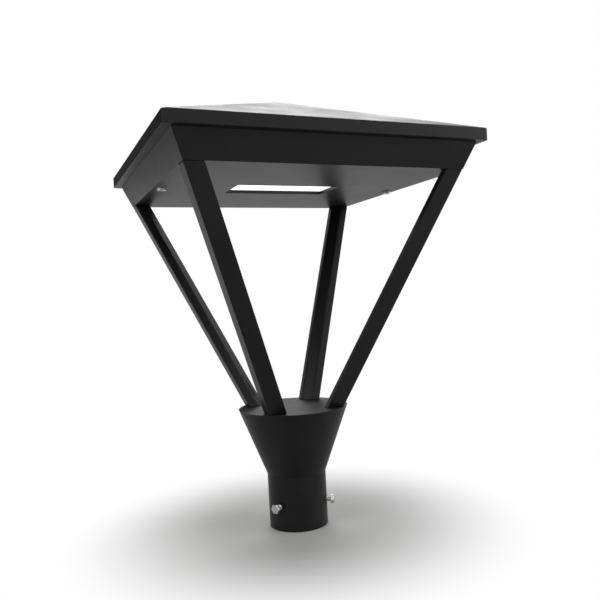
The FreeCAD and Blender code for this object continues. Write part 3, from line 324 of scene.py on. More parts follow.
@dataclass(frozen=True)
class ZincPlate:
    """Zinc-plated steel with a faint spangle."""

    light: Colour = (0.62, 0.65, 0.68, 1.0)
    dark: Colour = (0.44, 0.46, 0.49, 1.0)
    roughness: float = 0.30
    spangle_scale: float = 260.0
    scuff_scale: float = 300.0
    scuff_height: float = 0.00001

    def paint(self, surface: Surface) -> None:
        """Build the plating on a surface."""
        spangle = surface.cells(surface.place(), self.spangle_scale)
        scuffs = surface.noise(surface.place(), self.scuff_scale, detail=4.0).smooth(0.45, 0.7)
        surface.finish(
            Base_Color=surface.mix(spangle * 0.6, self.light, self.dark),
            Metallic=1.0,
            Roughness=self.roughness + 0.12 * spangle + 0.12 * scuffs,
            Normal=surface.bump(scuffs, self.scuff_height, 0.5))


@dataclass(frozen=True)
class Moulded:
    """Moulded plastic, rubber or lacquer with a fine skin and slight tone changes."""

    colour: Colour
    shade: Colour
    roughness: float = 0.45
    grain_scale: float = 900.0
    grain_height: float = 0.00002
    cloud_scale: float = 35.0
    reflectance: float = 0.5

    def paint(self, surface: Surface) -> None:
        """Build the moulding's skin on a surface."""
        place = surface.place()
        grain = surface.noise(place, self.grain_scale, detail=2.0)
        clouds = surface.noise(place, self.cloud_scale, detail=3.0)
        surface.finish(
            Base_Color=surface.mix(clouds.smooth(0.35, 0.7), self.colour, self.shade),
            Roughness=self.roughness + 0.12 * (clouds - 0.5) + 0.08 * (grain - 0.5),
            Specular_IOR_Level=self.reflectance,
            Normal=surface.bump(grain, self.grain_height, 0.6))


@dataclass(frozen=True)
class LitGlass:
    """Opal glass with the lamp on behind it, a little softer towards its edges."""

    colour: Colour = (0.93, 0.93, 0.90, 1.0)
    glow: Colour = (1.0, 1.0, 0.985, 1.0)
    edge_glow: Colour = (0.86, 0.86, 0.84, 1.0)
    half_length: float = 0.080
    half_width: float = 0.036
    fade: float = 0.006
    ripple_scale: float = 60.0
    ripple_height: float = 0.00002
    strength: float = 1.15

    def paint(self, surface: Surface) -> None:
        """Build the glass on a surface."""
        across, deep, _ = surface.parts(surface.place())
        inside = (1.0 - (across * across).smooth((self.half_length - self.fade) ** 2,
                                                 self.half_length ** 2))
        inside = inside * (1.0 - (deep * deep).smooth((self.half_width - self.fade) ** 2,
                                                      self.half_width ** 2))
        ripple = surface.noise(surface.place(), self.ripple_scale, detail=1.0)
        surface.finish(
            Base_Color=self.colour,
            Roughness=0.16 + 0.10 * ripple,
            Emission_Color=surface.mix(inside, self.edge_glow, self.glow),
            Emission_Strength=self.strength,
            Normal=surface.bump(ripple, self.ripple_height, 0.3))


@dataclass(frozen=True)
class Phosphor:
    """Lamp chips: a pale case with a round yellow cap, repeated at the chips' pitch."""

    case: Colour = (0.86, 0.86, 0.82, 1.0)
    cap: Colour = (0.92, 0.72, 0.16, 1.0)
    pitch: float = 0.019
    cap_radius: float = 0.0017

    def paint(self, surface: Surface) -> None:
        """Build the chips' colours on a surface."""
        across, deep, _ = surface.parts(surface.place())
        fold = 0.5 * self.pitch
        across, deep = (surface.node("ShaderNodeMath", {"operation": "PINGPONG"}, {0: way, 1: fold})
                        for way in (across + fold, deep))
        gap = across * across + deep * deep
        cap = 1.0 - gap.smooth(0.8 * self.cap_radius ** 2, 1.2 * self.cap_radius ** 2)
        surface.finish(Base_Color=surface.mix(cap, self.case, self.cap), Roughness=0.35)


FINISHES = {
    Slot.BLACK_COAT: PowderCoat(),
    Slot.STAINLESS: Metal((0.62, 0.61, 0.59, 1.0), (0.42, 0.40, 0.37, 1.0), 0.26),
    Slot.ZINC_STEEL: ZincPlate(),
    Slot.NIPPLE_BRASS: Metal((0.72, 0.53, 0.24, 1.0), (0.42, 0.29, 0.13, 1.0), 0.30),
    Slot.RETAINER_STEEL: ZincPlate(spangle_scale=90.0, roughness=0.34),
    Slot.SEAL_RUBBER: Moulded((0.030, 0.030, 0.032, 1.0), (0.045, 0.045, 0.046, 1.0), 0.62,
                              reflectance=0.3),
    Slot.OPAL_GLASS: LitGlass(),
    Slot.MIXING_WHITE: Moulded((0.90, 0.90, 0.89, 1.0), (0.85, 0.85, 0.83, 1.0), 0.35),
    Slot.BOARD_WHITE: Moulded((0.84, 0.86, 0.84, 1.0), (0.78, 0.80, 0.78, 1.0), 0.30),
    Slot.CHIP_YELLOW: Phosphor(),
    Slot.CONNECTOR_CREAM: Moulded((0.76, 0.71, 0.58, 1.0), (0.70, 0.65, 0.52, 1.0), 0.42),
    Slot.PAD_GREY: Moulded((0.26, 0.30, 0.34, 1.0), (0.22, 0.26, 0.30, 1.0), 0.70),
    Slot.SINK_ALUMINIUM: Metal((0.80, 0.81, 0.82, 1.0), (0.62, 0.63, 0.65, 1.0), 0.33,
                               stretch=(18.0, 1.0, 18.0), streak_scale=70.0,
                               streak_height=0.00002),
    Slot.DRIVER_SHELL: Moulded((0.80, 0.81, 0.80, 1.0), (0.74, 0.75, 0.74, 1.0), 0.48,
                               grain_height=0.00004),
    Slot.TERMINAL_GREY: Moulded((0.20, 0.22, 0.23, 1.0), (0.17, 0.19, 0.20, 1.0), 0.50),
    Slot.CLAMP_BRASS: Metal((0.75, 0.57, 0.28, 1.0), (0.48, 0.34, 0.16, 1.0), 0.26),
    Slot.CABLE_SHEATH: Moulded((0.028, 0.028, 0.030, 1.0), (0.040, 0.040, 0.041, 1.0), 0.55),
    Slot.LEAD_WHITE: Moulded((0.78, 0.77, 0.73, 1.0), (0.70, 0.69, 0.65, 1.0), 0.52),
    Slot.INLET_BLACK: Moulded((0.022, 0.022, 0.024, 1.0), (0.030, 0.030, 0.031, 1.0), 0.38,
                              grain_height=0.00004),
    Slot.GLAND_GREY: Moulded((0.09, 0.095, 0.10, 1.0), (0.075, 0.08, 0.085, 1.0), 0.46),
}


class Paints:
    """The lantern's materials, each made once."""

    def __init__(self) -> None:
        """Start with no material made."""
        self.made: dict[Slot, bpy.types.Material] = {}

    def get(self, slot: Slot) -> bpy.types.Material:
        """The material of a slot.

        Args:
            slot: The record's slot.

        Returns:
            Its material.
        """
        if slot not in self.made:
            surface = Surface(f"{slot.value}_finish")
            FINISHES[slot].paint(surface)
            self.made[slot] = surface.material
        return self.made[slot]


paints = Paints()


# Meshes


@dataclass(frozen=True)
class Span:
    """The box of a node or of one of its solids."""

    low: Vector
    high: Vector

    @property
    def size(self) -> Vector:
        """Length along each axis."""
        return self.high - self.low

    @property
    def centre(self) -> Vector:
        """The middle."""
        return (self.low + self.high) / 2


def span(node: str) -> Span:
    """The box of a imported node."""
    return Span(*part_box(node))


def merged(node: str) -> bmesh.types.BMesh:
    """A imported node's triangles with their doubles merged, and flat faces joined except in the
    frames, whose openings stay clear that way.

    Args:
        node: The node's name.

    Returns:
        The mesh, to be freed by the caller.
    """
    mesh = bmesh.new()
    mesh.from_mesh(frame["nodes"][node].data)
    bmesh.ops.remove_doubles(mesh, verts=mesh.verts, dist=MERGE_GAP)
    if node not in FRAME_NODES:
        bmesh.ops.dissolve_limit(mesh, angle_limit=FLAT_ANGLE, verts=mesh.verts, edges=mesh.edges)
    return mesh


def solids(node: str) -> list[Span]:
    """The boxes of a node's separate solids, in a steady order.

    Args:
        node: The node's name.

    Returns:
        One box for each solid.
    """
    mesh = merged(node)
    left, boxes = set(mesh.verts), []
    while left:
        front = [left.pop()]
        group = list(front)
        while front:
            for edge in front.pop().link_edges:
                for vertex in edge.verts:
                    if vertex in left:
                        left.remove(vertex)
                        front.append(vertex)
                        group.append(vertex)
        corners = [vertex.co for vertex in group]
        boxes.append(Span(Vector(map(min, zip(*corners))), Vector(map(max, zip(*corners)))))
    mesh.free()
    return sorted(boxes, key=lambda box: tuple(round(part, 5) for part in box.centre))


def add_object(name: str, mesh: bmesh.types.BMesh) -> bpy.types.Object:
    """Make an object at the origin from a mesh, and free the mesh.

    Args:
        name: The object's name.
        mesh: Its faces.

    Returns:
        The object.
    """
    data = bpy.data.meshes.new(name)
    mesh.to_mesh(data)
    mesh.free()
    for attribute in [a.name for a in data.attributes if a.name in ("custom_normal", "UVMap")]:
        data.attributes.remove(data.attributes[attribute])
    piece = bpy.data.objects.new(name, data)
    bpy.context.scene.collection.objects.link(piece)
    return piece


def settle_mesh(piece: bpy.types.Object) -> None:
    """Turn a piece with its modifiers into a plain mesh."""
    graph = bpy.context.evaluated_depsgraph_get()
    data = bpy.data.meshes.new_from_object(piece.evaluated_get(graph), depsgraph=graph)
    piece.modifiers.clear()
    old = piece.data
    piece.data = data
    bpy.data.meshes.remove(old)


def shade(piece: bpy.types.Object, angle: float = math.radians(38)) -> None:
    """Shade a piece smooth between edges that are sharper than the angle, with flat faces flat.

    Args:
        piece: The piece.
        angle: The least angle that stays sharp.
    """
    piece.data.shade_smooth()
    piece.data.set_sharp_from_angle(angle=angle)
    even = piece.modifiers.new("even_normals", "WEIGHTED_NORMAL")
    even.keep_sharp = True
    even.weight = 60
    settle_mesh(piece)


def soften(piece: bpy.types.Object, width: float, segments: int = 2,
           angle: float = math.radians(32)) -> None:
    """Round a piece's sharp edges.

    Args:
        piece: The piece.
        width: How far the rounding reaches from an edge.
        segments: Faces across the rounding.
        angle: The least angle that is rounded.
    """
    bevel = piece.modifiers.new("soft_edges", "BEVEL")
    bevel.width = width
    bevel.segments = segments
    bevel.limit_method = "ANGLE"
    bevel.angle_limit = angle
    bevel.miter_outer = "MITER_ARC"
    bevel.use_clamp_overlap = True
    settle_mesh(piece)
    shade(piece)


def dress(piece: bpy.types.Object, slot: Slot, carrier: str, *nodes: str) -> bpy.types.Object:
    """Give a finished piece its material, the body of its carrier and the nodes it stands for.

    Args:
        piece: The piece, in place.
        slot: The slot of its finish.
        carrier: A node on the body that it rides on.
        nodes: The nodes that it replaces.

    Returns:
        The piece.
    """
    piece.data.materials.clear()
    piece.data.materials.append(paints.get(slot))
    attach(piece, frame["nodes"][carrier]["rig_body"])
    if nodes:
        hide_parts(*nodes)
    log.info("%s: %d faces on %s", piece.name, len(piece.data.polygons), piece["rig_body"])
    return piece


def soft_copy(node: str, name: str, slot: Slot, width: float,
              segments: int = 2) -> bpy.types.Object:
    """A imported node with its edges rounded, in place of the node.

    Args:
        node: The node's name.
        name: The piece's name.
        slot: The slot of its finish.
        width: The rounding.
        segments: Faces across the rounding.

    Returns:
        The piece.
    """
    piece = add_object(name, merged(node))
    soften(piece, width, segments)
    return dress(piece, slot, node, node)


def turned_piece(name: str, mesh: bmesh.types.BMesh, slot: Slot, node: str) -> None:
    """Make, shade and dress a turned piece in place of a node."""
    piece = add_object(name, mesh)
    shade(piece, TURNED_ANGLE)
    dress(piece, slot, node, node)


def paint_node(node: str, slot: Slot) -> None:
    """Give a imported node, whose shape stays, its material."""
    data = frame["nodes"][node].data
    data.materials.clear()
    data.materials.append(paints.get(slot))
    log.info("%s: painted in place", node)


def circle(radius: float) -> Outline:
    """A round outline."""
    return lambda turn: radius


def hexagon(across: float) -> Outline:
    """A six-sided outline, measured across its flats, with a corner at the start."""
    return lambda turn: across / 2 / math.cos(turn % (math.pi / 3) - math.pi / 6)


def within(first: Outline, second: Outline) -> Outline:
    """What two outlines share."""
    return lambda turn: min(first(turn), second(turn))


Ring = tuple[Outline | float, float]


def skin(mesh: bmesh.types.BMesh, loops: Sequence[list[bmesh.types.BMVert]],
         looped: bool = False) -> bmesh.types.BMesh:
    """Lay faces between loops of points, capped at the ends or joined into a tube.

    Args:
        mesh: The mesh that holds the points.
        loops: Loops with the same number of points, in order.
        looped: Whether the last loop joins the first.

    Returns:
        The mesh.
    """
    following = loops[1:] + loops[:1] if looped else loops[1:]
    for lower, upper in zip(loops, following):
        for step, corner in enumerate(lower):
            ahead = (step + 1) % len(lower)
            mesh.faces.new((corner, lower[ahead], upper[ahead], upper[step]))
    if not looped:
        mesh.faces.new(loops[0])
        mesh.faces.new(loops[-1])
    bmesh.ops.recalc_face_normals(mesh, faces=mesh.faces)
    return mesh


def turned(rings: Sequence[Ring], sides: int = 48, looped: bool = False) -> bmesh.types.BMesh:
    """A closed piece through level outlines, capped at its ends or joined into a tube.

    Args:
        rings: Radii or outlines and their levels, from one end round to the other.
        sides: Points in each outline.
        looped: Whether the last outline joins the first.

    Returns:
        The mesh.
    """
    mesh = bmesh.new()
    turns = [math.tau * step / sides for step in range(sides)]
    loops = []
    for outline, level in rings:
        reaches = [outline(turn) if callable(outline) else outline for turn in turns]
        loops.append([mesh.verts.new((reach * math.cos(turn), reach * math.sin(turn), level))
                      for reach, turn in zip(reaches, turns)])
    return skin(mesh, loops, looped)


def thread(radius: float, low: float, high: float, pitch: float) -> list[Ring]:
    """Ridges of a screw thread along an upright shank.

    Args:
        radius: Outside of the ridges.
        low: The thread's lower end.
        high: Its upper end.
        pitch: From one ridge to the next.

    Returns:
        The outlines, upwards.
    """
    count = max(1, int((high - low) / pitch))
    step = (high - low) / count
    depth = THREAD_DEPTH * pitch
    rings: list[Ring] = []
    for turn in range(count):
        base = low + turn * step
        rings += [(radius - depth, base), *((radius, base + share * step) for share in CREST)]
    rings.append((radius - depth, high))
    return rings


def hex_band(across: float, low: float, high: float, edge: float) -> list[Ring]:
    """The outside of a hexagon with chamfered corners.

    Args:
        across: Its width across flats.
        low: Level of its lower face.
        high: Level of its upper face.
        edge: The chamfers' first step.

    Returns:
        The outlines, upwards.
    """
    face, full = FACE_SHARE * across, hexagon(across)
    tips = within(full, circle(TIP_SHARE * across))
    return [(face, low), (tips, low + edge), (full, low + 2 * edge), (full, high - 2 * edge),
            (tips, high - edge), (face, high)]


@dataclass(frozen=True)
class SocketScrew:
    """A cylinder-head screw with a hexagon socket, its seat at level 0 and its head above."""

    shank: float
    length: float
    head: float
    height: float
    pitch: float = SMALL_PITCH
    relief: float = 0.0004

    def mesh(self) -> bmesh.types.BMesh:
        """The screw, one solid."""
        edge, key, top = 0.12 * self.height, hexagon(self.head), self.height
        rings: list[Ring] = [(0.6 * self.shank, -self.length),
                             (self.shank - THREAD_DEPTH * self.pitch,
                              -self.length + self.shank * 0.5)]
        rings += thread(self.shank, -self.length + self.shank * 0.55, -self.relief, self.pitch)
        rings += [(self.shank, 0.0), (self.head - edge / 2, 0.0), (self.head, edge / 2),
                  (self.head, top - edge), (self.head - edge / 3, top - edge / 3),
                  (self.head - edge, top), (0.62 * self.head, top), (key, top - edge),
                  (key, 0.42 * top), (0.2 * self.head, 0.36 * top)]
        return turned(rings, 24)


@dataclass(frozen=True)
class HexNut:
    """A hexagon nut with chamfered corners and a bore, standing on level 0."""

    across: float
    height: float
    bore: float
    bore_edge: float = 0.0005

    def mesh(self) -> bmesh.types.BMesh:
        """The nut, one solid."""
        mouth, ease = self.bore + self.bore_edge, self.bore_edge
        return turned([
            (mouth, 0.0), *hex_band(self.across, 0.0, self.height, 0.16 * self.height),
            (mouth, self.height), (self.bore, self.height - ease), (self.bore, ease)], 24, True)


@dataclass(frozen=True)
class Washer:
    """A flat washer with soft edges, lying on level 0."""

    outer: float
    inner: float
    height: float

    def mesh(self) -> bmesh.types.BMesh:
        """The washer, one solid."""
        edge, top = 0.2 * self.height, self.height
        return turned([
            (self.inner + edge, 0.0), (self.outer - edge, 0.0), (self.outer, edge),
            (self.outer, top - edge), (self.outer - edge, top), (self.inner + edge, top),
            (self.inner, top - edge), (self.inner, edge)], 40, True)


@dataclass(frozen=True)
class Nipple:
    """A hollow threaded nipple, standing on level 0."""

    outer: float
    bore: float
    height: float
    pitch: float = 0.001
    edge: float = 0.0004

    def mesh(self) -> bmesh.types.BMesh:
        """The nipple, one solid."""
        edge = self.edge
        mouth, root = self.bore + edge, self.outer - THREAD_DEPTH * self.pitch
        return turned([
            (mouth, 0.0), (root, 0.0), *thread(self.outer, edge, self.height - edge, self.pitch),
            (root, self.height), (mouth, self.height), (self.bore, self.height - edge),
            (self.bore, edge)], 32, True)


@dataclass(frozen=True)
class Standoff:
    """A hexagon standoff with a threaded stud below level 0."""

    across: float
    height: float
    stud: float
    stud_length: float
    hole_depth: float = 0.006

    def mesh(self) -> bmesh.types.BMesh:
        """The standoff, one solid."""
        edge = 0.0005
        return turned([
            *thread(self.stud, -self.stud_length, -edge, SMALL_PITCH), (self.stud, 0.0),
            *hex_band(self.across, 0.0, self.height, edge), (self.stud, self.height),
            (self.stud - 0.0004, self.height - self.hole_depth)], 24)


# Geometry node trees


class Tree:
    """A geometry node tree while it is put together, with named inputs."""

    def __init__(self, name: str, inputs: Mapping[str, str]) -> None:
        """Start a tree.

        Args:
            name: The tree's name.
            inputs: The socket type of each named input.
        """
        self.group = bpy.data.node_groups.new(name, "GeometryNodeTree")
        face = self.group.interface
        face.new_socket("Geometry", in_out="INPUT", socket_type="NodeSocketGeometry")
        for label, kind in inputs.items():
            face.new_socket(label, in_out="INPUT", socket_type=kind)
        face.new_socket("Geometry", in_out="OUTPUT", socket_type="NodeSocketGeometry")
        self.inputs = self.group.nodes.new("NodeGroupInput").outputs

    def node(self, kind: str, settings: Mapping[str, object],
             sockets: Mapping[str | int, object]) -> bpy.types.NodeSocket:
        """Add one node."""
        return first_output(add_node(self.group, kind, settings, sockets))

    def vector(self, across: object, deep: object, up: object) -> bpy.types.NodeSocket:
        """Join three numbers into a vector."""
        return self.node("ShaderNodeCombineXYZ", {}, {"X": across, "Y": deep, "Z": up})

    def sized(self, operation: str, first: object, second: object) -> bpy.types.NodeSocket:
        """One step of arithmetic on sizes."""
        return self.node("ShaderNodeMath", {"operation": operation}, {0: first, 1: second})

    def bar(self, section: bpy.types.NodeSocket,
            along: bpy.types.NodeSocket) -> bpy.types.NodeSocket:
        """A closed bar: a flat section drawn along a vector.

        Args:
            section: A closed curve.
            along: From the section to the bar's other end.

        Returns:
            The bar's faces.
        """
        face = self.node("GeometryNodeFillCurve", {"mode": "NGONS"}, {"Curve": section})
        sides = self.node("GeometryNodeExtrudeMesh", {"mode": "FACES"},
                          {"Mesh": face, "Offset": along, "Offset Scale": 1.0, "Individual": False})
        base = self.node("GeometryNodeFlipFaces", {}, {"Mesh": face})
        joined = self.node("GeometryNodeJoinGeometry", {}, {"Geometry": [base, sides]})
        return self.node("GeometryNodeMergeByDistance", {}, {"Geometry": joined,
                                                             "Distance": 1e-6})

    def rounded(self, width: object, height: object, corner: object,
                steps: int) -> bpy.types.NodeSocket:
        """A rectangle's outline with rounded corners.

        Args:
            width: Along X.
            height: Along Y.
            corner: The corners' radius.
            steps: Points in each corner.

        Returns:
            The closed curve.
        """
        frame_curve = self.node("GeometryNodeCurvePrimitiveQuadrilateral", {"mode": "RECTANGLE"},
                                {"Width": width, "Height": height})
        return self.node("GeometryNodeFilletCurve", {"mode": "POLY"},
                         {"Curve": frame_curve, "Count": steps, "Radius": corner})

    def close(self, geometry: bpy.types.NodeSocket) -> "Tree":
        """End the tree in plain faces with the material of its Material input."""
        real = self.node("GeometryNodeRealizeInstances", {}, {"Geometry": geometry})
        dressed = self.node("GeometryNodeSetMaterial", {},
                            {"Geometry": real, "Material": self.inputs["Material"]})
        add_node(self.group, "NodeGroupOutput", {}, {"Geometry": dressed})
        return self

    def grow(self, name: str, base: bmesh.types.BMesh | None, slot: Slot,
             **values: object) -> bpy.types.Object:
        """Run the tree and keep its result as a plain mesh.

        Args:
            name: The piece's name.
            base: The mesh that the tree starts from, or None.
            slot: The slot of the material.
            values: The inputs, named with underscores for spaces.

        Returns:
            The piece.
        """
        piece = add_object(name, base or bmesh.new())
        modifier = piece.modifiers.new("grown", "NODES")
        modifier.node_group = self.group
        labels = {item.name: item.identifier for item in self.group.interface.items_tree
                  if item.in_out == "INPUT"}
        modifier[labels["Material"]] = paints.get(slot)
        for label, value in values.items():
            modifier[labels[label.replace("_", " ")]] = value
        settle_mesh(piece)
        return piece


def set_out_tree() -> Tree:
    """Copies of a master piece at the points of a mesh, each turned at random about Z."""
    tree = Tree("set_out", {"Master": "NodeSocketObject", "Largest Turn": "NodeSocketFloat",
                            "Seed": "NodeSocketInt", "Material": "NodeSocketMaterial"})
    info = add_node(tree.group, "GeometryNodeObjectInfo", {"transform_space": "ORIGINAL"},
                    {"Object": tree.inputs["Master"], "As Instance": True})
    most = tree.vector(0.0, 0.0, tree.inputs["Largest Turn"])
    turn = tree.node("FunctionNodeRandomValue", {"data_type": "FLOAT_VECTOR"},
                     {0: (0.0, 0.0, 0.0), 1: most, "Seed": tree.inputs["Seed"]})
    copies = tree.node("GeometryNodeInstanceOnPoints", {},
                       {"Points": tree.inputs["Geometry"], "Instance": info.outputs["Geometry"],
                        "Rotation": turn})
    return tree.close(copies)


def fin_tree() -> Tree:
    """A plate with upright fins, evenly spaced along X."""
    tree = Tree("finned_plate", {
        "Length": "NodeSocketFloat", "Width": "NodeSocketFloat", "Base": "NodeSocketFloat",
        "Fin Height": "NodeSocketFloat", "Fin Thickness": "NodeSocketFloat",
        "Fin Count": "NodeSocketInt", "Fin Span": "NodeSocketFloat", "Corner": "NodeSocketFloat",
        "Sunk": "NodeSocketFloat", "Place": "NodeSocketVector", "Material": "NodeSocketMaterial"})
    get = tree.inputs
    plate = tree.bar(tree.rounded(get["Length"], get["Width"], get["Corner"], 3),
                     tree.vector(0.0, 0.0, get["Base"]))
    tall = tree.sized("ADD", get["Fin Height"], get["Sunk"])
    section = tree.rounded(get["Fin Thickness"], tall,
                           tree.sized("MULTIPLY", get["Fin Thickness"], 0.4), 3)
    fin = tree.bar(section, tree.vector(0.0, 0.0, get["Width"]))
    middle = tree.sized("MULTIPLY", tree.sized("SUBTRACT", get["Fin Height"], get["Sunk"]), 0.5)
    upright = tree.node("GeometryNodeTransform", {}, {
        "Geometry": fin, "Rotation": (math.radians(90), 0.0, 0.0),
        "Translation": tree.vector(0.0, tree.sized("MULTIPLY", get["Width"], 0.5),
                                   tree.sized("ADD", get["Base"], middle))})
    count = tree.sized("SUBTRACT", get["Fin Count"], 1.0)
    row = tree.node("GeometryNodeMeshLine", {"mode": "OFFSET"}, {
        "Count": get["Fin Count"],
        "Start Location": tree.vector(tree.sized("MULTIPLY", get["Fin Span"], -0.5), 0.0, 0.0),
        "Offset": tree.vector(tree.sized("DIVIDE", get["Fin Span"], count), 0.0, 0.0)})
    fins = tree.node("GeometryNodeInstanceOnPoints", {}, {"Points": row, "Instance": upright})
    whole = tree.node("GeometryNodeJoinGeometry", {}, {"Geometry": [plate, fins]})
    return tree.close(tree.node("GeometryNodeTransform", {}, {"Geometry": whole,
                                                              "Translation": get["Place"]}))


class SettingOut:
    """Sets out copies of one master piece where a node has its solids."""

    def __init__(self) -> None:
        """Make the tree once."""
        self.tree = set_out_tree()

    def place(self, name: str, node: str, slot: Slot, master: bmesh.types.BMesh,
              level: float, side: Side = Side.UP, seed: int = 3) -> bpy.types.Object:
        """Replace a node's solids with copies of a master.

        Args:
            name: The piece's name.
            node: The node, one solid for each copy.
            slot: The slot of its finish.
            master: One copy, on level 0.
            level: The copies' level.
            side: Whether the master stands up or hangs down.
            seed: Seed of the copies' turns.

        Returns:
            The piece.
        """
        if side is Side.DOWN:
            bmesh.ops.transform(master, matrix=Matrix.Rotation(math.pi, 4, "X"), verts=master.verts)
        shape = add_object(f"{name}_master", master)
        points = bmesh.new()
        for box in solids(node):
            points.verts.new((box.centre.x, box.centre.y, level))
        piece = self.tree.grow(name, points, slot, Master=shape, Largest_Turn=math.tau,
                               Seed=seed)
        data = shape.data
        bpy.data.objects.remove(shape)
        bpy.data.meshes.remove(data)
        shade(piece, TURNED_ANGLE)
        return dress(piece, slot, node, node)

    def screws(self, name: str, node: str, slot: Slot = Slot.ZINC_STEEL, shank: float = SMALL_SHANK,
               head: float = SMALL_HEAD, side: Side = Side.UP, seed: int = 3) -> None:
        """Replace a node's screws with copies of a threaded one with a socket.

        Args:
            name: The piece's name.
            node: The node of the screws.
            slot: The slot of their finish.
            shank: Radius of the shank.
            head: Height of the head.
            side: Which way the heads face.
            seed: Seed of their turns.
        """
        box = solids(node)[0]
        screw = SocketScrew(shank, box.size.z - head, box.size.x / 2, head)
        level = box.high.z - head if side is Side.UP else box.low.z + head
        self.place(name, node, slot, screw.mesh(), level, side, seed)


# Sub-assemblies


@dataclass
class Base:
    """Post sleeve, cone, top plate, clamp bolts and the inlet inside the cone."""

    out: SettingOut
    casting_edge: float = 0.0008
    bolt_head: float = 0.0053
    bolt_across: float = 0.013
    bolt_radius: float = 0.004
    bolt_pitch: float = 0.00125
    bolt_edge: float = 0.0006
    plate_shank: float = 0.0025
    plate_head: float = 0.005
    gland_body: float = 0.0088
    gland_bore: float = 0.005
    gland_dome: float = 0.004
    gland_pitch: float = 0.0012
    gland_edge: float = 0.0006

    def build(self) -> None:
        """Build every piece of the base."""
        for node in ("post_sleeve", "cone", "top_plate"):
            soft_copy(node, f"{node}_coated", Slot.BLACK_COAT, self.casting_edge, 3)
        for corner in ("front_left", "front_right", "rear"):
            self.clamp_bolt(f"clamp_bolt_{corner}")
        self.inlet()

    def clamp_bolt(self, node: str) -> None:
        """A hexagon bolt with its thread, along its own radius of the neck.

        Args:
            node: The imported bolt.
        """
        centre = span(node).centre
        radius = Vector((centre.x, centre.y, 0.0)).normalized()
        reach = [vertex.co.dot(radius) for vertex in frame["nodes"][node].data.vertices]
        tip, end = min(reach), max(reach)
        neck, edge = end - self.bolt_head, self.bolt_edge
        full = hexagon(self.bolt_across)
        crown = within(full, circle(0.52 * self.bolt_across))
        rings: list[Ring] = [(0.6 * self.bolt_radius, tip)]
        rings += thread(self.bolt_radius, tip + 0.001, neck - 0.001, self.bolt_pitch)
        rings += [(self.bolt_radius, neck), (FACE_SHARE * self.bolt_across, neck),
                  (0.48 * self.bolt_across, neck + 0.3 * edge), (full, neck + 0.4 * edge),
                  (full, end - 1.6 * edge), (crown, end - edge),
                  (FACE_SHARE * self.bolt_across, end)]
        mesh = turned(rings, 48)
        lay = Vector((0.0, 0.0, 1.0)).rotation_difference(radius).to_matrix().to_4x4()
        bmesh.ops.transform(mesh, matrix=Matrix.Translation((0.0, 0.0, centre.z)) @ lay,
                            verts=mesh.verts)
        turned_piece(f"{node}_turned", mesh, Slot.STAINLESS, node)

    def inlet(self) -> None:
        """The connector under the plate, its gland and the screws round it."""
        soft_copy("inlet_connector", "inlet_body", Slot.INLET_BLACK, 0.0008)
        gland = span("cable_gland")
        mid, top, low = gland.centre.z, gland.high.z, gland.low.z
        bore, body, rise = self.gland_bore, self.gland_body, self.gland_dome
        dome = [(bore + (body - bore) * math.sin(math.radians(angle)),
                 low + rise * (1 - math.cos(math.radians(angle)))) for angle in (0, 20, 45, 70, 90)]
        rings = [*dome, *thread(body, low + rise + 0.0005, mid, self.gland_pitch),
                 *hex_band(gland.size.y, mid, top, self.gland_edge), (bore, top)]
        turned_piece("cable_gland_body", turned(rings, 48, True), Slot.GLAND_GREY, "cable_gland")
        self.out.screws("plate_screw_set", "plate_screws", shank=self.plate_shank,
                        head=self.plate_head, side=Side.DOWN)
        self.out.screws("inlet_screw_set", "inlet_screws", side=Side.DOWN)


@dataclass
class Struts:
    """The four leaning struts and the nipples, washers and nuts that hold them."""

    out: SettingOut
    corner: float = 0.0016
    lip: float = 0.0135
    nipple_bore: float = 0.00375

    def build(self) -> None:
        """Build the struts and their fixings."""
        for row in ("front", "rear"):
            for hand in ("left", "right"):
                self.strut(f"strut_{row}_{hand}")
        for end in ("foot", "crown"):
            self.fixings(end)

    def strut(self, node: str) -> None:
        """One strut from the plate to the head, with its inner corner cut off at a slant.

        Args:
            node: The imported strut.
        """
        box = span(node)
        foot = [v.co for v in frame["nodes"][node].data.vertices if v.co.z < box.low.z + LEVEL_GAP]
        reach = max(abs(point.x) for point in foot)
        width = reach - min(abs(point.x) for point in foot)
        mesh = bmesh.new()
        loops = []
        crown = max(abs(box.low.x), abs(box.high.x))
        for outer, level in ((reach, box.low.z), (crown, box.high.z)):
            side, edge = outer - width, outer - self.lip
            corners = ((outer, outer), (side, outer), (side, edge), (edge, side), (outer, side))
            loops.append([mesh.verts.new((math.copysign(across, box.centre.x),
                                          math.copysign(deep, box.centre.y), level))
                          for across, deep in corners])
        piece = add_object(f"{node}_bar", skin(mesh, loops))
        soften(piece, self.corner, 3)
        dress(piece, Slot.BLACK_COAT, node, node)

    def fixings(self, end: str) -> None:
        """The nipples, washers and nuts at the struts' feet or crowns.

        Args:
            end: Which end, foot or crown.
        """
        nipple, washer, nut = (solids(f"{end}_{kind}")[0]
                               for kind in ("nipples", "washers", "nuts"))
        outer = nipple.size.x / 2
        self.out.place(f"{end}_nipple_set", f"{end}_nipples", Slot.NIPPLE_BRASS,
                       Nipple(outer, self.nipple_bore, nipple.size.z).mesh(), nipple.low.z)
        self.out.place(f"{end}_washer_set", f"{end}_washers", Slot.ZINC_STEEL,
                       Washer(washer.size.x / 2, outer, washer.size.z).mesh(), washer.low.z)
        self.out.place(f"{end}_nut_set", f"{end}_nuts", Slot.ZINC_STEEL,
                       HexNut(nut.size.y, nut.size.z, outer).mesh(), nut.low.z, seed=8)


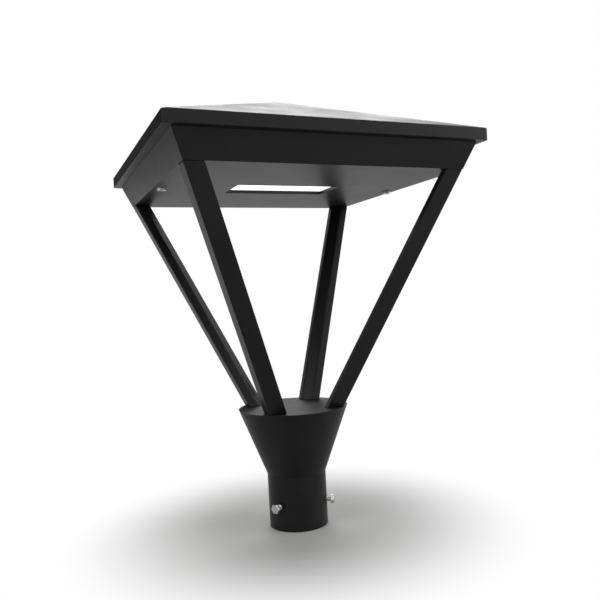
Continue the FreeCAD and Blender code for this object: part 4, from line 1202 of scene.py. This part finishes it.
@dataclass
class Head:
    """Cast tray with its window, seals and hinge brackets."""

    out: SettingOut
    casting_edge: float = 0.0007

    def build(self) -> None:
        """Build every piece of the head."""
        for copy in (
                ("head_housing", "head_tray", Slot.BLACK_COAT, self.casting_edge),
                ("hinge_brackets", "hinge_bracket_set", Slot.BLACK_COAT, 0.0005),
                ("roof_gasket", "roof_seal", Slot.SEAL_RUBBER, 0.0007, 3),
                ("window_gasket", "window_seal", Slot.SEAL_RUBBER, 0.0003),
                ("window_glass", "opal_window", Slot.OPAL_GLASS, 0.0006, 3),
                ("window_retainer", "window_frame", Slot.RETAINER_STEEL, 0.0004)):
            soft_copy(*copy)
        self.out.screws("window_screw_set", "retainer_screws")


@dataclass
class Roof:
    """Low pyramid roof with its rim and lip, hinge leaves, strikes and studs."""

    wall: float = 0.003
    lip_width: float = 0.026
    lip_height: float = 0.003
    corner: float = 0.006
    apex_corner: float = 0.0012
    lip_corner: float = 0.004
    inner_corner: float = 0.003
    lip_edge: float = 0.0004
    foot_edge: float = 0.0009
    bead: float = 0.001
    tip_side: float = 0.002
    tip_crown: float = 0.0002
    tip_drop: float = 0.0006
    edge: float = 0.0014
    arc_steps: int = 6
    eave_steps: int = 4
    sharp: float = math.radians(40)

    def build(self) -> None:
        """Build every piece of the roof and its fastenings."""
        self.shell()
        soft_copy("latch_blocks", "latch_block_set", Slot.BLACK_COAT, 0.0006)
        soft_copy("hinge_leaves", "hinge_leaf_set", Slot.BLACK_COAT, 0.0005)
        for node in ("hinge_pins", "hinge_clips"):
            soft_copy(node, f"{node}_turned", Slot.STAINLESS, 0.0003)
        soft_copy("latch_strikes", "strike_plates", Slot.STAINLESS, 0.0003)
        soft_copy("strike_screws", "strike_screw_set", Slot.STAINLESS, 0.0003)
        for hand in ("left", "right"):
            soft_copy(f"latch_stud_{hand}", f"quarter_turn_stud_{hand}", Slot.STAINLESS, 0.0005, 3)
            soft_copy(f"latch_clip_{hand}", f"stud_ring_{hand}", Slot.STAINLESS, 0.0002)

    def outline(self, mesh: bmesh.types.BMesh, half: float, corner: float,
                level: float) -> list[bmesh.types.BMVert]:
        """A level square with rounded corners.

        Args:
            mesh: The mesh that gets its points.
            half: Half of the square's side.
            corner: The corners' radius.
            level: Its height.

        Returns:
            Its points, in order.
        """
        points = []
        for quarter in range(4):
            for step in range(self.arc_steps + 1):
                turn = math.pi / 2 * (quarter + step / self.arc_steps)
                middle = math.pi / 2 * quarter + math.pi / 4
                across = math.copysign(half - corner, math.cos(middle)) + corner * math.cos(turn)
                deep = math.copysign(half - corner, math.sin(middle)) + corner * math.sin(turn)
                points.append(mesh.verts.new((across, deep, level)))
        return points

    def profile(self) -> list[tuple[float, float, float]]:
        """The roof's section as (half side, corner radius, level), from its apex over the rim
        and under the lip to the inside of its apex.

        Returns:
            The section's corners.
        """
        rim, panels = span("roof_rim"), span("roof_panels")
        half, base, eave, apex = rim.high.x, rim.low.z, panels.low.z, panels.high.z
        flat = max(v.co.x for v in frame["nodes"]["roof_panels"].data.vertices
                   if v.co.z > apex - LEVEL_GAP)
        slope = (apex - eave) / (half - flat)
        lean = math.atan(slope)
        upright = self.wall / math.cos(lean)
        edge, ease = self.edge, self.edge * math.tan((math.pi / 2 - lean) / 2)
        tip, side = self.apex_corner, self.tip_side
        section = [(flat - side, tip, apex - self.tip_crown), (flat, tip, apex - self.tip_drop),
                   (flat + side, tip, apex - self.tip_drop - side * slope * 0.9)]
        for step in range(self.eave_steps + 1):
            turn = lean + (math.pi / 2 - lean) * step / self.eave_steps
            section.append((half - edge + edge * math.sin(turn), self.corner,
                            eave - ease + edge * math.cos(turn)))
        foot, mouth, inner = self.foot_edge, half - self.lip_width, half - self.wall
        lip, soft, bead = base + self.lip_height, self.lip_edge, self.bead
        section += [
            (half, self.corner, base + 0.0008), (half - 0.0003, self.corner, base + 0.0002),
            (half - foot, self.corner - foot, base),
            (mouth + soft, self.lip_corner, base), (mouth, self.lip_corner, base + soft),
            (mouth, self.lip_corner, lip - soft), (mouth + soft, self.lip_corner, lip),
            (inner - bead, self.lip_corner, lip), (inner, self.inner_corner, lip + bead),
            (inner, self.inner_corner, eave + slope * self.wall - upright - bead),
            (inner - bead, self.inner_corner, eave + slope * (self.wall + bead) - upright),
            (flat, tip, apex - upright)]
        return section

    def shell(self) -> None:
        """The roof's panels and rim as the welded, coated whole."""
        mesh = bmesh.new()
        loops = [self.outline(mesh, *corner) for corner in self.profile()]
        piece = add_object("roof_shell", skin(mesh, loops))
        shade(piece, self.sharp)
        dress(piece, Slot.BLACK_COAT, "roof_panels", "roof_panels", "roof_rim")


@dataclass
class LightEngine:
    """Mixing box, lamp board, chips, connector, heat pad and heat sink."""

    out: SettingOut
    fin_count: int = 19
    fin_span: float = 0.180
    fin_thickness: float = 0.002
    sink_base: float = 0.005
    sink_corner: float = 0.002
    fin_sunk: float = 0.0004
    stud: float = 0.0055
    sharp: float = math.radians(35)

    def build(self) -> None:
        """Build every piece of the light engine."""
        for copy in (
                ("light_box", "mixing_box", Slot.MIXING_WHITE, 0.0004),
                ("lamp_board", "lamp_plate", Slot.BOARD_WHITE, 0.0003),
                ("lamp_chips", "lamp_chip_set", Slot.CHIP_YELLOW, 0.0002),
                ("board_connector", "board_plug", Slot.CONNECTOR_CREAM, 0.0006),
                ("heat_pad", "heat_pad_sheet", Slot.PAD_GREY, 0.0002)):
            soft_copy(*copy)
        self.sink()
        box = solids("sink_standoffs")[0]
        standoff = Standoff(box.size.y, box.size.z - self.stud, SMALL_SHANK, self.stud)
        self.out.place("standoff_set", "sink_standoffs", Slot.ZINC_STEEL, standoff.mesh(),
                       box.low.z + self.stud, seed=5)
        self.out.screws("sink_screw_set", "sink_screws", seed=11)

    def sink(self) -> None:
        """The finned heat sink."""
        box = span("heat_sink")
        piece = fin_tree().grow(
            "finned_sink", None, Slot.SINK_ALUMINIUM, Length=box.size.x, Width=box.size.y,
            Base=self.sink_base, Fin_Height=box.size.z - self.sink_base,
            Fin_Thickness=self.fin_thickness, Fin_Count=self.fin_count, Fin_Span=self.fin_span,
            Corner=self.sink_corner, Sunk=self.fin_sunk, Place=(0.0, 0.0, box.low.z))
        shade(piece, self.sharp)
        dress(piece, Slot.SINK_ALUMINIUM, "heat_sink", "heat_sink")


@dataclass
class Gear:
    """Driver, terminal block, their screws and the cables."""

    out: SettingOut

    def build(self) -> None:
        """Build every piece of the gear."""
        soft_copy("led_driver", "driver_case", Slot.DRIVER_SHELL, 0.0012, 3)
        soft_copy("terminal_block", "terminal_case", Slot.TERMINAL_GREY, 0.0006)
        soft_copy("terminal_clamps", "wire_clamps", Slot.CLAMP_BRASS, 0.0002)
        self.out.screws("gear_screw_set", "gear_screws", seed=17)
        self.out.screws("earth_screw_head", "earth_screw", Slot.CLAMP_BRASS, seed=17)
        paint_node("supply_cable", Slot.CABLE_SHEATH)
        paint_node("driver_lead", Slot.LEAD_WHITE)
        paint_node("lamp_lead", Slot.LEAD_WHITE)


# Studio


@dataclass(frozen=True)
class Lamp:
    """One soft area lamp."""

    name: str
    place: Spot
    aim: Spot
    size: float
    power: float
    colour: tuple[float, float, float] = (1.0, 1.0, 1.0)

    def hang(self) -> None:
        """Hang the lamp and point it."""
        data = bpy.data.lights.new(self.name, "AREA")
        data.shape = "DISK"
        data.size = self.size
        data.energy = self.power
        data.color = self.colour
        lamp = bpy.data.objects.new(self.name, data)
        lamp.location = self.place
        beam = Vector(self.aim) - Vector(self.place)
        lamp.rotation_euler = beam.to_track_quat("-Z", "Y").to_euler()
        bpy.context.scene.collection.objects.link(lamp)


@dataclass(frozen=True)
class Viewpoint:
    """The photograph's camera: place in metres, angles in degrees, the rest in pixels."""

    place: Spot = (-0.368, -0.9595, 0.348)
    azimuth: float = 23.66
    pitch: float = -1.07
    roll: float = -2.97
    focal: float = 670.92
    centre_across: float = 319.35
    centre_down: float = 307.34
    picture: float = 600.0
    sensor: float = 36.0

    def set_up(self) -> None:
        """Make the scene's camera."""
        turn, pitch, roll = (math.radians(angle) for angle in (self.azimuth, self.pitch, self.roll))
        forward = Vector((math.sin(turn) * math.cos(pitch), math.cos(turn) * math.cos(pitch),
                          math.sin(pitch)))
        level_right = Vector((math.cos(turn), -math.sin(turn), 0.0))
        level_up = level_right.cross(forward)
        right = level_right * math.cos(roll) + level_up * math.sin(roll)
        up = right.cross(forward)
        data = bpy.data.cameras.new("photo_camera")
        data.sensor_width = self.sensor
        data.lens = self.focal / self.picture * self.sensor
        data.shift_x = (self.picture / 2 - self.centre_across) / self.picture
        data.shift_y = (self.centre_down - self.picture / 2) / self.picture
        data.clip_end = 100.0
        camera = bpy.data.objects.new("photo_camera", data)
        axes = Matrix((right, up, -forward)).transposed().to_4x4()
        camera.matrix_world = Matrix.Translation(self.place) @ axes
        bpy.context.scene.collection.objects.link(camera)
        bpy.context.scene.camera = camera


@dataclass
class Studio:
    """Pale floor, white surroundings and soft lamps."""

    floor_half: float = 14.0
    floor_colour: Colour = (0.80, 0.80, 0.79, 1.0)
    shadow_radius: float = 0.10
    white_radius: float = 0.36
    far_radius: float = 2.6
    floor_gleam: float = 0.50
    floor_grain: float = 300.0
    surround: float = 0.42
    surround_colour: Colour = (0.8, 0.8, 0.8, 1.0)
    white: Colour = (1.0, 1.0, 1.0, 1.0)
    card_colour: Colour = (0.012, 0.012, 0.012, 1.0)
    cards: Sequence[tuple[str, Spot, float, float]] = (
        ("card_left", (-1.35, 1.60, 1.75), 1.25, 1.20),
        ("card_low", (1.60, 3.66, 0.95), 1.50, 0.60))
    lamps: Sequence[Lamp] = field(default_factory=lambda: (
        Lamp("key_left", (-2.2, -0.6, 2.2), (0.0, 0.0, 0.35), 1.6, 8.0, (1.0, 0.99, 0.97)),
        Lamp("fill_right", (2.4, -1.6, 1.3), (0.0, 0.0, 0.35), 2.0, 16.0, (0.97, 0.98, 1.0)),
        Lamp("top_soft", (1.0, 2.6, 2.6), (0.0, 0.0, 0.50), 2.4, 34.0)))

    def build(self) -> None:
        """Lay the floor, hang the lamps and set the world and the view."""
        for lamp in self.lamps:
            lamp.hang()
        self.floor()
        for card in self.cards:
            self.card(*card)
        self.world()
        bpy.context.scene.view_settings.view_transform = "Standard"
        Viewpoint().set_up()

    def floor(self) -> None:
        """A pale floor that keeps the shadow near the foot and is plain white beyond."""
        mesh = bmesh.new()
        bmesh.ops.create_grid(mesh, x_segments=8, y_segments=8, size=self.floor_half)
        floor = add_object("floor", mesh)
        surface = Surface("floor_paint")
        grain = surface.noise(surface.place(), self.floor_grain, detail=3.0)
        surface.finish(Base_Color=self.floor_colour, Roughness=0.75 + 0.1 * grain,
                       Specular_IOR_Level=0.2, Normal=surface.bump(grain, 0.0001, 0.2))
        gap = surface.node("ShaderNodeVectorMath", {"operation": "LENGTH"}, {0: surface.place()})
        path = surface.tree.nodes.new("ShaderNodeLightPath").outputs
        seen = Signal(surface, path["Is Camera Ray"]) + Signal(surface, path["Is Transmission Ray"])
        mirrored = Signal(surface, path["Is Glossy Ray"])
        share = (seen * gap.smooth(self.shadow_radius, self.white_radius)
                 + mirrored * gap.smooth(self.white_radius, self.far_radius) * self.floor_gleam)
        white = surface.node("ShaderNodeEmission", {}, {"Strength": 1.0})
        blend = surface.node("ShaderNodeMixShader", {},
                             {0: share, 1: surface.shader.outputs[0], 2: white})
        out = next(node for node in surface.tree.nodes if node.type == "OUTPUT_MATERIAL")
        feed(surface.tree, out.inputs["Surface"], blend)
        floor.data.materials.append(surface.material)

    def card(self, name: str, spot: Spot, half_width: float, half_height: float) -> None:
        """An upright dark card that faces the lantern and only shows in the coat's gloss.

        Args:
            name: The card's name.
            spot: Its centre.
            half_width: Half of its width.
            half_height: Half of its height.
        """
        mesh = bmesh.new()
        bmesh.ops.create_grid(mesh, x_segments=1, y_segments=1, size=1.0)
        place = Vector(spot)
        size = Matrix.Diagonal((half_width, half_height, 1.0, 1.0))
        turn = Vector((-place.x, -place.y, 0.0)).to_track_quat("Z", "Y").to_matrix().to_4x4()
        bmesh.ops.transform(mesh, matrix=Matrix.Translation(place) @ turn @ size, verts=mesh.verts)
        card = add_object(name, mesh)
        surface = Surface(f"{name}_paint")
        surface.finish(Base_Color=self.card_colour, Roughness=0.9, Specular_IOR_Level=0.0)
        card.data.materials.append(surface.material)
        card.visible_camera = False
        card.visible_diffuse = False
        card.visible_shadow = False

    def world(self) -> None:
        """Even surroundings that are plain white where they are seen or mirrored."""
        world = bpy.data.worlds.new("surroundings")
        bpy.context.scene.world = world
        world.use_nodes = True
        tree = world.node_tree
        tree.nodes.clear()
        soft, white = (
            add_node(tree, "ShaderNodeBackground", {}, {"Color": colour, "Strength": strength})
            for colour, strength in ((self.surround_colour, self.surround), (self.white, 1.0)))
        path = tree.nodes.new("ShaderNodeLightPath").outputs
        either = add_node(tree, "ShaderNodeMath", {"operation": "ADD"},
                          {0: path["Is Camera Ray"], 1: path["Is Glossy Ray"]})
        any_of = add_node(tree, "ShaderNodeMath", {"operation": "ADD", "use_clamp": True},
                          {0: either.outputs[0], 1: path["Is Transmission Ray"]})
        blend = add_node(tree, "ShaderNodeMixShader", {},
                         {0: any_of.outputs[0], 1: soft.outputs[0], 2: white.outputs[0]})
        add_node(tree, "ShaderNodeOutputWorld", {}, {"Surface": blend.outputs[0]})


def main() -> None:
    """Build the lantern's sub-assemblies and the studio in order."""
    logging.basicConfig(level=logging.INFO, format="%(name)s: %(message)s")
    out = SettingOut()
    for part in (Base(out), Struts(out), Head(out), Roof(), LightEngine(out), Gear(out), Studio()):
        log.info("building %s", type(part).__name__)
        part.build()


if __name__ == "__main__":
    main()
